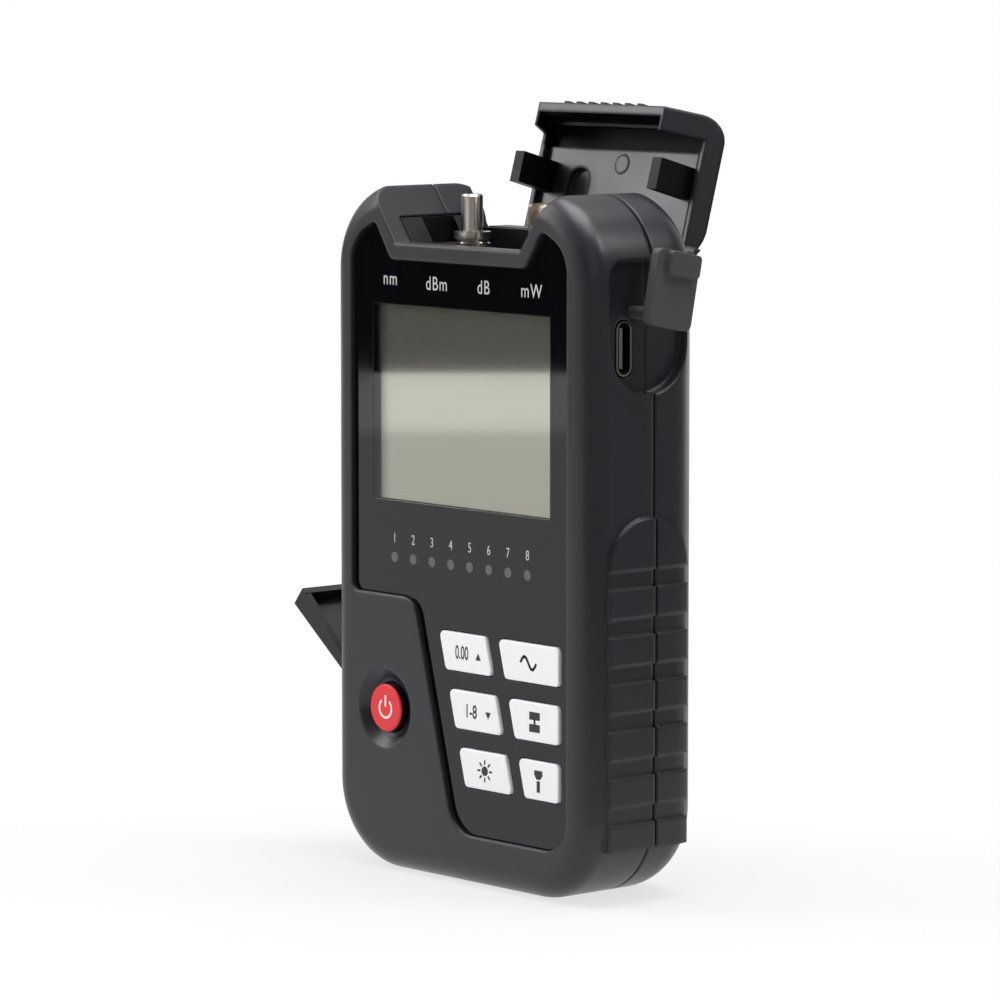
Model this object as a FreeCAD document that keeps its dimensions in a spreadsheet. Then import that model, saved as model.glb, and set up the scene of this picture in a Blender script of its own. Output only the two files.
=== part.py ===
"""Handheld optical power meter with a flip-up port cover, as a parametric FreeCAD document.

Millimetres. The origin is at the bottom centre of the housing: +X to the right as the user sees the
front, +Y to the back, +Z up. Moving covers stand open at rest.
"""

import math
import os

import FreeCAD
import Part
import Sketcher

# Driving sizes: alias, value in millimetres (or degrees, or a plain ratio), what it is.
SIZES = [
    ("body_width", 65.0, "housing, left to right"),
    ("body_height", 115.0, "housing, foot to horn tops"),
    ("body_depth", 26.0, "housing, front face to back face"),
    ("corner_radius", 14.5, "the outline's four corners"),
    ("front_round", 4.3, "rounding of the front shoulder"),
    ("rear_round", 7.5, "rounding of the rear shoulder"),
    ("wall", 2.0, "shell wall"),
    ("front_wall", 3.2, "front wall with the panel seat in it"),
    ("parting_y", 1.0, "joint plane of the two shells"),
    ("joint_gap", 0.12, "gap between the two shells at the joint plane"),
    ("seam_width", 0.5, "groove along the joint"),
    ("seam_depth", 0.5, "depth of that groove"),
    ("sill_drop", 9.7, "front sill of the top notch, below the horns"),
    ("sill_half", 15.7, "half width of the notch at the sill"),
    ("notch_flare", 0.726, "outward lean of the notch sides, width per height"),
    ("rear_notch_depth", 4.2, "depth of the wider hinge notch at the back"),
    ("hinge_beam_half", 17.0, "half width of the beam between the hinge slots"),
    ("hinge_beam_drop", 7.7, "top of that beam, below the horns"),
    ("hinge_slot_half", 22.3, "outer side of the hinge slots"),
    ("hinge_shoulder_drop", 5.1, "where the hinge notch starts to flare"),
    ("hinge_inset", 1.6, "cover hinge axis, in from the back face"),
    ("hinge_drop", 10.35, "cover hinge axis, below the horns"),
    ("hinge_pin_radius", 0.9, "cover hinge pin"),
    ("hinge_pin_length", 47.6, "cover hinge pin"),
    ("knuckle_radius", 1.5, "cover hinge knuckle"),
    ("pin_clearance", 0.05, "radial clearance of a pin in its moving hole"),
    ("cover_gap", 0.3, "gap round the closed top cover"),
    ("cover_open", 105.6, "angle at which the top cover stands open"),
    ("cover_plate_drop", 2.1, "inner face of the cover plate, below the horns"),
    ("cover_side_drop", 3.1, "lower edge of the cover's side walls, below the horns"),
    ("cover_wall", 1.6, "wall of the cover's lip"),
    ("cover_skin", 1.2, "cover skin over the hollow behind the lip"),
    ("cover_hollow", 4.4, "length of the hollow behind the lip"),
    ("cover_side", 1.0, "wall of the cover's sides"),
    ("ridge_pitch", 3.0, "grip ridges on the cover's lip"),
    ("ridge_count", 7, "how many ridges"),
    ("ridge_height", 0.4, "ridge height"),
    ("ridge_width", 1.2, "ridge, across"),
    ("ridge_length", 2.6, "ridge, up the lip"),
    ("latch_centre", 17.0, "latch hooks, out from the middle"),
    ("latch_width", 2.2, "latch hook, across"),
    ("latch_length", 8.0, "latch hook, down from the plate"),
    ("latch_depth", 5.3, "latch hook, front to back"),
    ("latch_clearance", 0.4, "gap round a hook in its slot"),
    ("latch_set", 2.7, "latch hooks, behind the hollow"),
    ("latch_swing", 1.2, "room behind a hook for its swing"),
    ("insert_half", 19.1, "port insert, half width"),
    ("insert_front", 3.6, "port insert, back from the front face"),
    ("insert_top_drop", 5.8, "port insert's top, below the horns"),
    ("insert_floor_drop", 11.2, "port insert's floor, below the horns"),
    ("insert_thick", 3.3, "port insert's floor thickness"),
    ("insert_wall", 1.0, "port insert's wall"),
    ("insert_gap", 0.15, "gap round the port insert"),
    ("port_centre", 10.0, "ports, out from the middle"),
    ("port_y", -0.9, "ports, front to back"),
    ("ferrule_bore", 1.25, "radius of the 2.5 mm ferrule bore"),
    ("tube_radius", 1.8, "ferrule tube of the fault locator port"),
    ("tube_top_drop", 1.8, "top of that tube, below the horns"),
    ("flange_radius", 3.1, "flange of the fault locator port"),
    ("port_foot", 1.5, "ports, below the insert's floor"),
    ("meter_radius", 4.0, "barrel of the power meter port"),
    ("meter_top_drop", 2.7, "top of that barrel, below the horns"),
    ("panel_half", 27.0, "front panel, half width"),
    ("panel_bottom", 8.5, "front panel's lower edge"),
    ("panel_corner", 5.5, "front panel's lower corner radius"),
    ("panel_recess", 0.8, "front panel, back from the front face"),
    ("panel_thick", 1.0, "front panel"),
    ("panel_gap", 0.15, "gap round the front panel"),
    ("panel_rim", 2.7, "rim between the notch sill and the panel"),
    ("panel_peak_out", 7.0, "panel's peaks beside the notch, out from its side"),
    ("panel_peak_up", 6.3, "panel's peaks, up from its step under the sill"),
    ("panel_step_out", 3.0, "that step's corners, out from the notch side"),
    ("island_top", 46.6, "top of the power button's island"),
    ("island_offset", 4.8, "island edge, left of the keys"),
    ("window_half", 22.3, "display window, half width"),
    ("window_bottom", 62.2, "display window's lower edge"),
    ("window_top", 95.2, "display window's upper edge"),
    ("light_count", 8, "indicator lights"),
    ("light_pitch", 4.77, "spacing of the lights"),
    ("light_z", 52.9, "height of the row of lights"),
    ("light_radius", 0.65, "indicator light"),
    ("key_top", 41.9, "top of the first key row"),
    ("key_pitch", 9.5, "spacing of the key rows"),
    ("key_height", 6.4, "key, top to bottom"),
    ("key_gap", 3.1, "gap between the two keys of a row"),
    ("key_left", -4.9, "left key's left edge at the first row's top"),
    ("key_middle", 9.9, "right key's left edge at the first row's top"),
    ("key_side", 7.7, "right keys' right edge, in from the housing's side"),
    ("key_slant", 0.26, "slant of the key sides, width per height"),
    ("key_corner", 0.9, "key corner radius"),
    ("key_proud", 0.5, "keys, forward of the panel"),
    ("key_gap_round", 0.2, "gap round a key in the panel"),
    ("key_flange", 0.6, "flange behind the front wall"),
    ("key_skirt", 0.7, "key's flange, wider than its cap"),
    ("flange_gap", 0.15, "gap between a flange and the front wall"),
    ("key_travel", 0.5, "travel of a key"),
    ("power_side", 14.1, "power button's middle, in from the housing's left side"),
    ("power_z", 27.4, "power button's height"),
    ("power_radius", 4.0, "power button"),
    ("power_flange", 0.9, "power button's flange, wider than its cap"),
    ("power_sink", 0.1, "power button, back from the front face"),
    ("power_well", 6.7, "dished well round the power button"),
    ("well_depth", 1.7, "depth of that well"),
    ("usb_in", 9.3, "USB port's middle, back from the front face"),
    ("usb_z", 90.0, "USB port, height"),
    ("usb_length", 8.94, "USB port shell, long side"),
    ("usb_width", 3.26, "USB port shell, short side"),
    ("usb_depth", 7.3, "USB port shell, mouth to tail"),
    ("usb_skin", 0.3, "USB port shell's sheet"),
    ("usb_tongue", 0.7, "USB port's tongue, thickness"),
    ("usb_fit", 0.2, "gap round the USB port in the wall"),
    ("recess_depth", 2.2, "side recess round the USB port"),
    ("recess_half", 8.7, "side recess, half width"),
    ("recess_bottom", 82.6, "side recess, lower end"),
    ("recess_top", 104.2, "side recess, upper end"),
    ("tether_y", -2.0, "rubber cover's tether"),
    ("tether_z", 95.8, "rubber cover's tether"),
    ("tether_radius", 1.1, "rubber cover's tether"),
    ("knob_lip", 0.45, "knob behind the wall, wider than the tether"),
    ("knob_thick", 1.15, "that knob"),
    ("flap_y", 1.0, "rubber cover's middle when open"),
    ("flap_z", 99.6, "rubber cover's middle when open"),
    ("flap_lean", 11.3, "rubber cover's lean when open"),
    ("flap_width", 9.2, "rubber cover"),
    ("flap_height", 12.4, "rubber cover"),
    ("flap_thick", 1.8, "rubber cover"),
    ("flap_stand", 3.0, "rubber cover's back, out from the side"),
    ("plug_depth", 2.4, "rubber cover's plug"),
    ("rib_height", 3.7, "rubber cover's finger rib, top to bottom"),
    ("rib_raise", 1.1, "rubber cover's finger rib, out from the cover"),
    ("grip_front", 9.1, "grip pad, forward of the middle"),
    ("grip_back", 8.3, "grip pad, behind the middle"),
    ("grip_bottom", 9.0, "grip pad, lower end"),
    ("grip_top", 62.8, "grip pad, upper end"),
    ("grip_raise", 0.7, "grip pad, out from the side"),
    ("groove_first", 13.4, "lowest groove's lower edge"),
    ("groove_width", 2.8, "groove, top to bottom"),
    ("groove_depth", 0.6, "groove depth"),
    ("groove_pitch", 7.65, "spacing of the grooves"),
    ("groove_count", 6, "how many grooves"),
    ("door_half", 8.3, "left pocket, half width"),
    ("door_bottom", 28.0, "left pocket, lower edge"),
    ("door_top", 51.0, "left pocket, upper edge"),
    ("door_corner", 0.8, "left pocket, corner radius"),
    ("door_depth", 4.4, "left pocket, depth"),
    ("door_gap", 0.3, "gap round the closed left cover"),
    ("door_plate", 1.5, "left cover's plate"),
    ("door_reach", 3.6, "left cover, outer face to lip end"),
    ("door_wall", 1.2, "left cover's side walls and lip"),
    ("door_open", 52.0, "angle at which the left cover stands open"),
    ("door_pin_radius", 0.6, "left cover's hinge pin"),
    ("door_axis_in", 1.2, "left cover's axis, in from the side"),
    ("door_axis_up", 1.6, "left cover's axis, up from the pocket's edge"),
    ("socket_depth", 18.0, "cable socket, into the housing"),
    ("socket_width", 15.4, "cable socket, along the side"),
    ("socket_thick", 13.0, "cable socket, front to back"),
    ("socket_open_width", 11.9, "cable socket's mouth, along the side"),
    ("socket_open_thick", 7.0, "cable socket's mouth, front to back"),
    ("socket_open_depth", 13.0, "cable socket's mouth, depth"),
    ("socket_z", 39.2, "cable socket, height"),
    ("socket_fit", 0.2, "gap round the cable socket in its wall"),
    ("socket_offset", 1.4, "cable socket's mouth, forward of its middle"),
    ("socket_latch", 6.0, "latch channel of that mouth, along the side"),
    ("socket_channel", 2.0, "depth of that channel"),
    ("board_thick", 1.6, "main board"),
    ("board_side", 4.2, "main board's edge, in from the housing's side"),
    ("board_foot", 6.0, "main board's lower edge"),
    ("board_shoulder", 15.0, "height where the board clears the lower bosses"),
    ("boss_clear", 1.8, "board's clearance round a screw boss"),
    ("battery_width", 40.0, "battery"),
    ("battery_height", 33.5, "battery"),
    ("battery_thick", 6.0, "battery"),
    ("battery_foot", 50.0, "battery's lower edge"),
    ("laser_radius", 3.0, "laser module"),
    ("laser_length", 14.0, "laser module"),
    ("diode_radius", 3.5, "photodiode module"),
    ("diode_length", 5.0, "photodiode module"),
    ("loose_gap", 0.1, "gap between pieces that only lie together"),
    ("mat_thick", 1.27, "keypad mat"),
    ("mat_edge", 2.0, "keypad mat, beyond the keys"),
    ("display_edge", 2.2, "display's frame, beyond its window"),
    ("screw_side", 7.5, "housing screws, in from the housing's side"),
    ("screw_low", 10.5, "lower screws' height"),
    ("screw_high", 56.0, "upper screws' height"),
    ("screw_boss", 3.2, "screw boss radius"),
    ("screw_radius", 1.1, "screw shank"),
    ("screw_head", 2.2, "screw head radius"),
    ("screw_sink", 3.2, "screw head's hole, depth"),
    ("screw_head_thick", 1.6, "screw head"),
]

doc = FreeCAD.newDocument("OpticalPowerMeter")
sheet = doc.addObject("Spreadsheet::Sheet", "Sizes")
for row, (alias, value, note) in enumerate(SIZES, 1):
    sheet.set(f"A{row}", alias)
    sheet.set(f"B{row}", str(value))
    sheet.setAlias(f"B{row}", alias)
    sheet.set(f"C{row}", note)
doc.recompute()


class Size:
    """A number together with the expression that gives it from the sheet."""

    def __init__(self, value, text):
        self.value = value
        self.text = text

    def __add__(self, other):
        other = as_size(other)
        return Size(self.value + other.value, f"({self.text} + {other.text})")

    def __radd__(self, other):
        return as_size(other) + self

    def __sub__(self, other):
        other = as_size(other)
        return Size(self.value - other.value, f"({self.text} - {other.text})")

    def __rsub__(self, other):
        return as_size(other) - self

    def __mul__(self, other):
        other = as_size(other)
        return Size(self.value * other.value, f"({self.text} * {other.text})")

    def __rmul__(self, other):
        return as_size(other) * self

    def __truediv__(self, other):
        other = as_size(other)
        return Size(self.value / other.value, f"({self.text} / {other.text})")

    def __neg__(self):
        return Size(-self.value, f"(-{self.text})")


def as_size(number):
    """A plain number becomes a Size; a Size stays what it is."""
    if isinstance(number, Size):
        return number
    return Size(float(number), repr(float(number)))


class Sheet:
    """Gives each alias of the sheet as a Size."""

    def __getattr__(self, alias):
        return Size(float(sheet.get(alias)), f"Sizes.{alias}")


dim = Sheet()


def bind(thing, prop, size):
    """Binds a property, or a named constraint, to the sheet."""
    thing.setExpression(prop, as_size(size).text)


# Each sketch plane: role in the body's origin, and whether the plane's normal is a positive axis.
PLANES = {"X": ("YZ_Plane", 1), "Y": ("XZ_Plane", -1), "Z": ("XY_Plane", 1)}


def new_body(name):
    return doc.addObject("PartDesign::Body", name)


def plane_sketch(body, axis, level, name):
    """A sketch across one axis, on the body's own origin plane, moved to a level on that axis."""
    role, sign = PLANES[axis]
    sketch = body.newObject("Sketcher::SketchObject", name)
    plane = next(item for item in body.Origin.OriginFeatures if item.Role == role)
    sketch.AttachmentSupport = [(plane, "")]
    sketch.MapMode = "FlatFace"
    bind(sketch, "AttachmentOffset.Base.z", as_size(level) * sign)
    return sketch


def free_sketch(axis, name):
    """A sketch across one axis that stands by itself, for outlines that several pieces share."""
    turns = {
        "X": FreeCAD.Rotation(FreeCAD.Vector(1, 1, 1), 120),
        "Y": FreeCAD.Rotation(FreeCAD.Vector(1, 0, 0), 90),
        "Z": FreeCAD.Rotation(),
    }
    sketch = doc.addObject("Sketcher::SketchObject", name)
    sketch.Placement = FreeCAD.Placement(FreeCAD.Vector(), turns[axis])
    return sketch


def hold(sketch, kind, geometry, point, size):
    """A bound distance of a point from the sketch's origin, kind DistanceX or DistanceY."""
    size = as_size(size)
    index = sketch.addConstraint(Sketcher.Constraint(kind, -1, 1, geometry, point, size.value))
    bind(sketch, f"Constraints[{index}]", size)


def circle(sketch, across, up, radius):
    """A circle with a bound middle and radius."""
    centre = FreeCAD.Vector(as_size(across).value, as_size(up).value, 0)
    radius = as_size(radius)
    index = sketch.addGeometry(Part.Circle(centre, FreeCAD.Vector(0, 0, 1), radius.value), False)
    hold(sketch, "DistanceX", index, 3, across)
    hold(sketch, "DistanceY", index, 3, up)
    bound = sketch.addConstraint(Sketcher.Constraint("Radius", index, radius.value))
    bind(sketch, f"Constraints[{bound}]", radius)


def outline(sketch, corners):
    """A closed outline of straight sides. Each corner is (across, up) or (across, up, radius)."""
    points = [FreeCAD.Vector(as_size(c[0]).value, as_size(c[1]).value, 0) for c in corners]
    radii = [as_size(c[2]) if len(c) > 2 else None for c in corners]
    count = len(corners)
    starts = []
    ends = []
    for i, point in enumerate(points):
        if radii[i] is None:
            starts.append(point)
            ends.append(point)
            continue
        back = (points[i - 1] - point).normalize()
        ahead = (points[(i + 1) % count] - point).normalize()
        half = back.getAngle(ahead) / 2
        reach = radii[i].value / math.tan(half)
        ends.append(point + back * reach)
        starts.append(point + ahead * reach)
    lines = []
    for i in range(count):
        segment = Part.LineSegment(starts[i], ends[(i + 1) % count])
        lines.append(sketch.addGeometry(segment, False))
    for i, corner in enumerate(corners):
        before = lines[i - 1]
        after = lines[i]
        if radii[i] is None:
            sketch.addConstraint(Sketcher.Constraint("Coincident", before, 2, after, 1))
            hold(sketch, "DistanceX", after, 1, corner[0])
            hold(sketch, "DistanceY", after, 1, corner[1])
            continue
        round_corner(sketch, points[i], ends[i], starts[i], radii[i], before, after, corner)


def round_corner(sketch, apex, end, start, radius, before, after, corner):
    """An arc between two sides of an outline, with the corner that they would meet in held."""
    middle = (end + start) / 2 - apex
    reach = math.hypot(radius.value, (end - apex).Length)
    centre = apex + middle.normalize() * reach
    outward = (apex - centre).normalize() * radius.value
    arc = Part.Arc(end, centre + outward, start)
    index = sketch.addGeometry(arc, False)
    turn = (end - apex).cross(start - apex).z
    first, last = (1, 2) if turn < 0 else (2, 1)
    point = sketch.addGeometry(Part.Point(apex), True)
    hold(sketch, "DistanceX", point, 1, corner[0])
    hold(sketch, "DistanceY", point, 1, corner[1])
    sketch.addConstraint(Sketcher.Constraint("PointOnObject", point, 1, before))
    sketch.addConstraint(Sketcher.Constraint("PointOnObject", point, 1, after))
    sketch.addConstraint(Sketcher.Constraint("Tangent", before, 2, index, first))
    sketch.addConstraint(Sketcher.Constraint("Tangent", index, last, after, 1))
    bound = sketch.addConstraint(Sketcher.Constraint("Radius", index, radius.value))
    bind(sketch, f"Constraints[{bound}]", radius)


def rectangle(left, right, low, high, radius=None):
    """The corners of a rectangle, for outline()."""
    corners = [(left, low), (right, low), (right, high), (left, high)]
    if radius is None:
        return corners
    return [corner + (radius,) for corner in corners]


def draw(sketch, shape):
    """Draws what shape says: a list of corners, or one circle as (across, up, radius)."""
    if isinstance(shape, list):
        outline(sketch, shape)
    else:
        circle(sketch, *shape)


def pad(body, name, axis, shape, low, high):
    """Adds a prism that runs along an axis from low to high."""
    level = low if PLANES[axis][1] > 0 else high
    sketch = plane_sketch(body, axis, level, name + "Sketch")
    draw(sketch, shape)
    feature = body.newObject("PartDesign::Pad", name)
    feature.Profile = sketch
    bind(feature, "Length", as_size(high) - low)
    doc.recompute()
    return feature


def pocket(body, name, axis, shape, low, high):
    """Cuts a prism that runs along an axis from low to high."""
    level = high if PLANES[axis][1] > 0 else low
    sketch = plane_sketch(body, axis, level, name + "Sketch")
    draw(sketch, shape)
    feature = body.newObject("PartDesign::Pocket", name)
    feature.Profile = sketch
    bind(feature, "Length", as_size(high) - low)
    doc.recompute()
    return feature


def fillet(body, name, base, radius, chosen):
    """Rounds the edges of a feature that the test chooses."""
    edges = [f"Edge{i}" for i, edge in enumerate(base.Shape.Edges, 1) if chosen(edge)]
    feature = body.newObject("PartDesign::Fillet", name)
    feature.Base = (base, edges)
    bind(feature, "Radius", radius)
    doc.recompute()
    return feature


def on_level(axis, level):
    """A test for edges that lie wholly in the plane where an axis has this value."""
    level = as_size(level).value

    def test(edge):
        box = edge.BoundBox
        low, high = {"X": (box.XMin, box.XMax), "Y": (box.YMin, box.YMax), "Z": (box.ZMin, box.ZMax)}[axis]
        return abs(low - level) < 1e-4 and abs(high - level) < 1e-4

    return test


def revolve(body, name, profile, across, along):
    """Turns a half profile of (radius, height) corners about an upright axis at (across, along)."""
    sketch = plane_sketch(body, "Y", along, name + "Sketch")
    outline(sketch, [(as_size(across) + radius, height) for radius, height in profile])
    axis = sketch.addGeometry(
        Part.LineSegment(
            FreeCAD.Vector(as_size(across).value, 0, 0),
            FreeCAD.Vector(as_size(across).value, 10, 0),
        ),
        True,
    )
    hold(sketch, "DistanceX", axis, 1, across)
    hold(sketch, "DistanceY", axis, 1, 0)
    hold(sketch, "DistanceX", axis, 2, across)
    hold(sketch, "DistanceY", axis, 2, 10)
    feature = body.newObject("PartDesign::Revolution", name)
    feature.Profile = sketch
    feature.ReferenceAxis = (sketch, ["Axis0"])
    feature.Angle = 360
    doc.recompute()
    return feature


def extrude(name, profile, axis, low, high):
    """A slab from a free-standing outline, along an axis from low to high."""
    direction = {"X": (1, 0, 0), "Y": (0, 1, 0), "Z": (0, 0, 1)}[axis]
    feature = doc.addObject("Part::Extrusion", name)
    feature.Base = profile
    feature.DirMode = "Custom"
    feature.Dir = FreeCAD.Vector(*direction)
    feature.Solid = True
    bind(feature, "LengthFwd", high)
    bind(feature, "LengthRev", -as_size(low))
    return feature


def grown(corners, distance):
    """The same corners with every side moved outward by a distance; the radii follow."""
    points = [FreeCAD.Vector(as_size(c[0]).value, as_size(c[1]).value, 0) for c in corners]
    count = len(points)
    area = sum(points[i - 1].cross(points[i]).z for i in range(count))
    sign = 1 if area > 0 else -1
    result = []
    for i, corner in enumerate(corners):
        before = (points[i] - points[i - 1]).normalize()
        after = (points[(i + 1) % count] - points[i]).normalize()
        across = FreeCAD.Vector(before.y + after.y, -before.x - after.x, 0) * sign
        shift = across * (1 / (1 + before.dot(after)))
        moved = (corner[0] + distance * shift.x, corner[1] + distance * shift.y)
        outer = before.cross(after).z * sign > 0
        radius = corner[2] + distance if outer else corner[2] - distance
        result.append(moved + (radius,))
    return result


def outline_sketch(name, corners):
    """A free-standing outline across Y."""
    sketch = free_sketch("Y", name)
    outline(sketch, corners)
    return sketch


def box(name, x, y, z):
    """A block between two values on each axis."""
    feature = doc.addObject("Part::Box", name)
    for prop, place, (low, high) in (("Length", "x", x), ("Width", "y", y), ("Height", "z", z)):
        bind(feature, prop, as_size(high) - low)
        bind(feature, f"Placement.Base.{place}", low)
    return feature


def rod(name, axis, radius, x, y, z, length):
    """A cylinder along an axis, from the point (x, y, z)."""
    turns = {
        "X": FreeCAD.Rotation(FreeCAD.Vector(0, 1, 0), 90),
        "Y": FreeCAD.Rotation(FreeCAD.Vector(1, 0, 0), -90),
        "Z": FreeCAD.Rotation(),
    }
    feature = doc.addObject("Part::Cylinder", name)
    feature.Placement = FreeCAD.Placement(FreeCAD.Vector(), turns[axis])
    bind(feature, "Radius", radius)
    bind(feature, "Height", length)
    bind(feature, "Placement.Base.x", x)
    bind(feature, "Placement.Base.y", y)
    bind(feature, "Placement.Base.z", z)
    return feature


def cut(name, base, *tools):
    """A piece less one or more others."""
    feature = doc.addObject("Part::Cut", name)
    feature.Base = base
    feature.Tool = tools[0] if len(tools) == 1 else fuse(name + "Tools", *tools)
    return feature


def fuse(name, *pieces):
    """Several pieces made one."""
    feature = doc.addObject("Part::MultiFuse", name)
    feature.Shapes = list(pieces)
    return feature


def common(name, base, tool):
    """What two pieces share."""
    feature = doc.addObject("Part::Common", name)
    feature.Base = base
    feature.Tool = tool
    return feature


def group(name, *pieces):
    """Separate solids that make one sub-part."""
    feature = doc.addObject("Part::Compound", name)
    feature.Links = list(pieces)
    return feature


def turn(piece, x, y, z, axis, angle):
    """Turns a finished piece about a line through (x, y, z)."""
    centre = FreeCAD.Vector(as_size(x).value, as_size(y).value, as_size(z).value)
    rotation = FreeCAD.Rotation(FreeCAD.Vector(*axis), as_size(angle).value)
    piece.Placement = FreeCAD.Placement(centre - rotation.multVec(centre), rotation)


PARTS = {}


def keep(name, feature):
    """Gives a finished sub-part its label, which names its file."""
    feature.Label = name
    PARTS[name] = feature


# Places worked out once from the driving sizes.
half_width = dim.body_width / 2
front = -dim.body_depth / 2
back = dim.body_depth / 2
top = dim.body_height
sill_z = top - dim.sill_drop
notch_back = back - dim.rear_notch_depth
beam_z = top - dim.hinge_beam_drop
shoulder_z = top - dim.hinge_shoulder_drop
hinge_y = back - dim.hinge_inset
hinge_z = top - dim.hinge_drop
slot_floor = hinge_z - dim.knuckle_radius - dim.cover_gap
above = top + 3
panel_front = front + dim.panel_recess
panel_back = panel_front + dim.panel_thick
wall_back = front + dim.front_wall
side_seat = half_width - dim.recess_depth
door_floor = dim.door_depth - half_width
insert_top = top - dim.insert_top_drop
insert_floor = top - dim.insert_floor_drop
insert_bottom = insert_floor - dim.insert_thick
key_right = half_width - dim.key_side
power_x = dim.power_side - half_width
usb_y = front + dim.usb_in
board_back = usb_y - dim.usb_width / 2
board_front = board_back - dim.board_thick
screw_x = half_width - dim.screw_side
port_foot = insert_bottom - dim.port_foot


def notch_half(z):
    """Half width of the top notch at a height."""
    return dim.sill_half + dim.notch_flare * (as_size(z) - sill_z)


def notch_corners(low, inset):
    """The top notch in the front view, from a height up, narrower by inset on each side."""
    return [
        (inset - notch_half(low), low),
        (notch_half(low) - inset, low),
        (notch_half(above) - inset, above),
        (inset - notch_half(above), above),
    ]


def hinge_corners(low, inset):
    """The wider notch at the back in the front view, from a height up."""
    slot = dim.hinge_slot_half - inset
    flare = slot + (above - shoulder_z)
    return [(-slot, low), (slot, low), (slot, shoulder_z), (flare, above), (-flare, above), (-slot, shoulder_z)]


def rounded_block(name, inset, low, high, front_round, rear_round):
    """The housing's outer form, or the same form set in by a wall."""
    body = new_body(name)
    corners = rectangle(
        inset - half_width, half_width - inset, inset, top - inset, dim.corner_radius - inset
    )
    block = pad(body, name + "Block", "Y", corners, low, high)
    shoulder = fillet(body, name + "Front", block, front_round, on_level("Y", low))
    fillet(body, name + "Rear", shoulder, rear_round, on_level("Y", high))
    return body


def add_grip(body, side, sign):
    """A raised grip pad with its grooves, on the side of this sign."""
    inner = half_width - 1
    outer = half_width + dim.grip_raise
    depth = outer - dim.groove_depth
    radius = (dim.grip_front + dim.grip_back) * 0.49
    corners = [
        (-dim.grip_front, dim.grip_bottom),
        (dim.grip_back, dim.grip_bottom),
        (dim.grip_back, dim.grip_top, radius),
        (-dim.grip_front, dim.grip_top, radius),
    ]
    ends = (inner, outer) if sign > 0 else (-outer, -inner)
    pad(body, side + "Grip", "X", corners, *ends)
    ends = (depth, outer + 1) if sign > 0 else (-outer - 1, -depth)
    groove = rectangle(
        -dim.grip_front - 1, dim.grip_back + 1, dim.groove_first, dim.groove_first + dim.groove_width
    )
    first = pocket(body, side + "Groove", "X", groove, *ends)
    pattern = body.newObject("PartDesign::LinearPattern", side + "Grooves")
    pattern.Originals = [first]
    pattern.Direction = (first.Profile[0], ["V_Axis"])
    bind(pattern, "Length", dim.groove_pitch * (dim.groove_count - 1))
    bind(pattern, "Occurrences", dim.groove_count)
    body.Tip = pattern
    doc.recompute()


def housing_form():
    """The outside of both shells, still solid, with every recess and opening of its skin."""
    body = rounded_block("Housing", as_size(0), front, back, dim.front_round, dim.rear_round)
    add_grip(body, "Right", 1)
    add_grip(body, "Left", -1)
    pocket(body, "Notch", "Y", notch_corners(sill_z, 0), front - 1, notch_back)
    pocket(body, "HingeNotch", "Y", hinge_corners(beam_z, 0), notch_back, back + 1)
    for side, sign in (("Right", 1), ("Left", -1)):
        inner = dim.hinge_beam_half * sign
        outer = dim.hinge_slot_half * sign
        low, high = (inner, outer) if sign > 0 else (outer, inner)
        pocket(body, side + "Slot", "Y", rectangle(low, high, slot_floor, beam_z + 1), notch_back, back + 1)
    half = dim.insert_half + dim.insert_gap
    opening = rectangle(-half, half, front + dim.insert_front, notch_back - dim.insert_gap)
    pocket(body, "InsertOpening", "Z", opening, insert_bottom - 4, insert_top + dim.insert_gap)
    recess = [
        (-dim.recess_half, dim.recess_bottom, dim.recess_half * 0.97),
        (dim.recess_half, dim.recess_bottom, dim.recess_half * 0.97),
        (dim.recess_half, dim.recess_top, 3),
        (-dim.recess_half, dim.recess_top, 3),
    ]
    pocket(body, "SideRecess", "X", recess, side_seat, half_width + 2)
    fit = dim.usb_fit
    port = rectangle(
        usb_y - dim.usb_width / 2 - fit, usb_y + dim.usb_width / 2 + fit,
        dim.usb_z - dim.usb_length / 2 - fit, dim.usb_z + dim.usb_length / 2 + fit, dim.usb_width * 0.49,
    )
    pocket(body, "UsbHole", "X", port, half_width - 6, half_width)
    tether = (dim.tether_y, dim.tether_z, dim.tether_radius + dim.pin_clearance)
    pocket(body, "TetherHole", "X", tether, half_width - 6, half_width)
    door = rectangle(-dim.door_half, dim.door_half, dim.door_bottom, dim.door_top, dim.door_corner)
    pocket(body, "DoorPocket", "X", door, -half_width - 2, door_floor)
    fit = dim.socket_fit
    mouth = rectangle(
        -dim.socket_thick / 2 - fit, dim.socket_thick / 2 + fit,
        dim.socket_z - dim.socket_width / 2 - fit, dim.socket_z + dim.socket_width / 2 + fit,
    )
    pocket(body, "SocketHole", "X", mouth, door_floor - 1, door_floor + 4)
    return body


def screw_places():
    for side, sign in (("Right", 1), ("Left", -1)):
        for level, height in (("Low", dim.screw_low), ("High", dim.screw_high)):
            yield side + level, screw_x * sign, height


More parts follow.
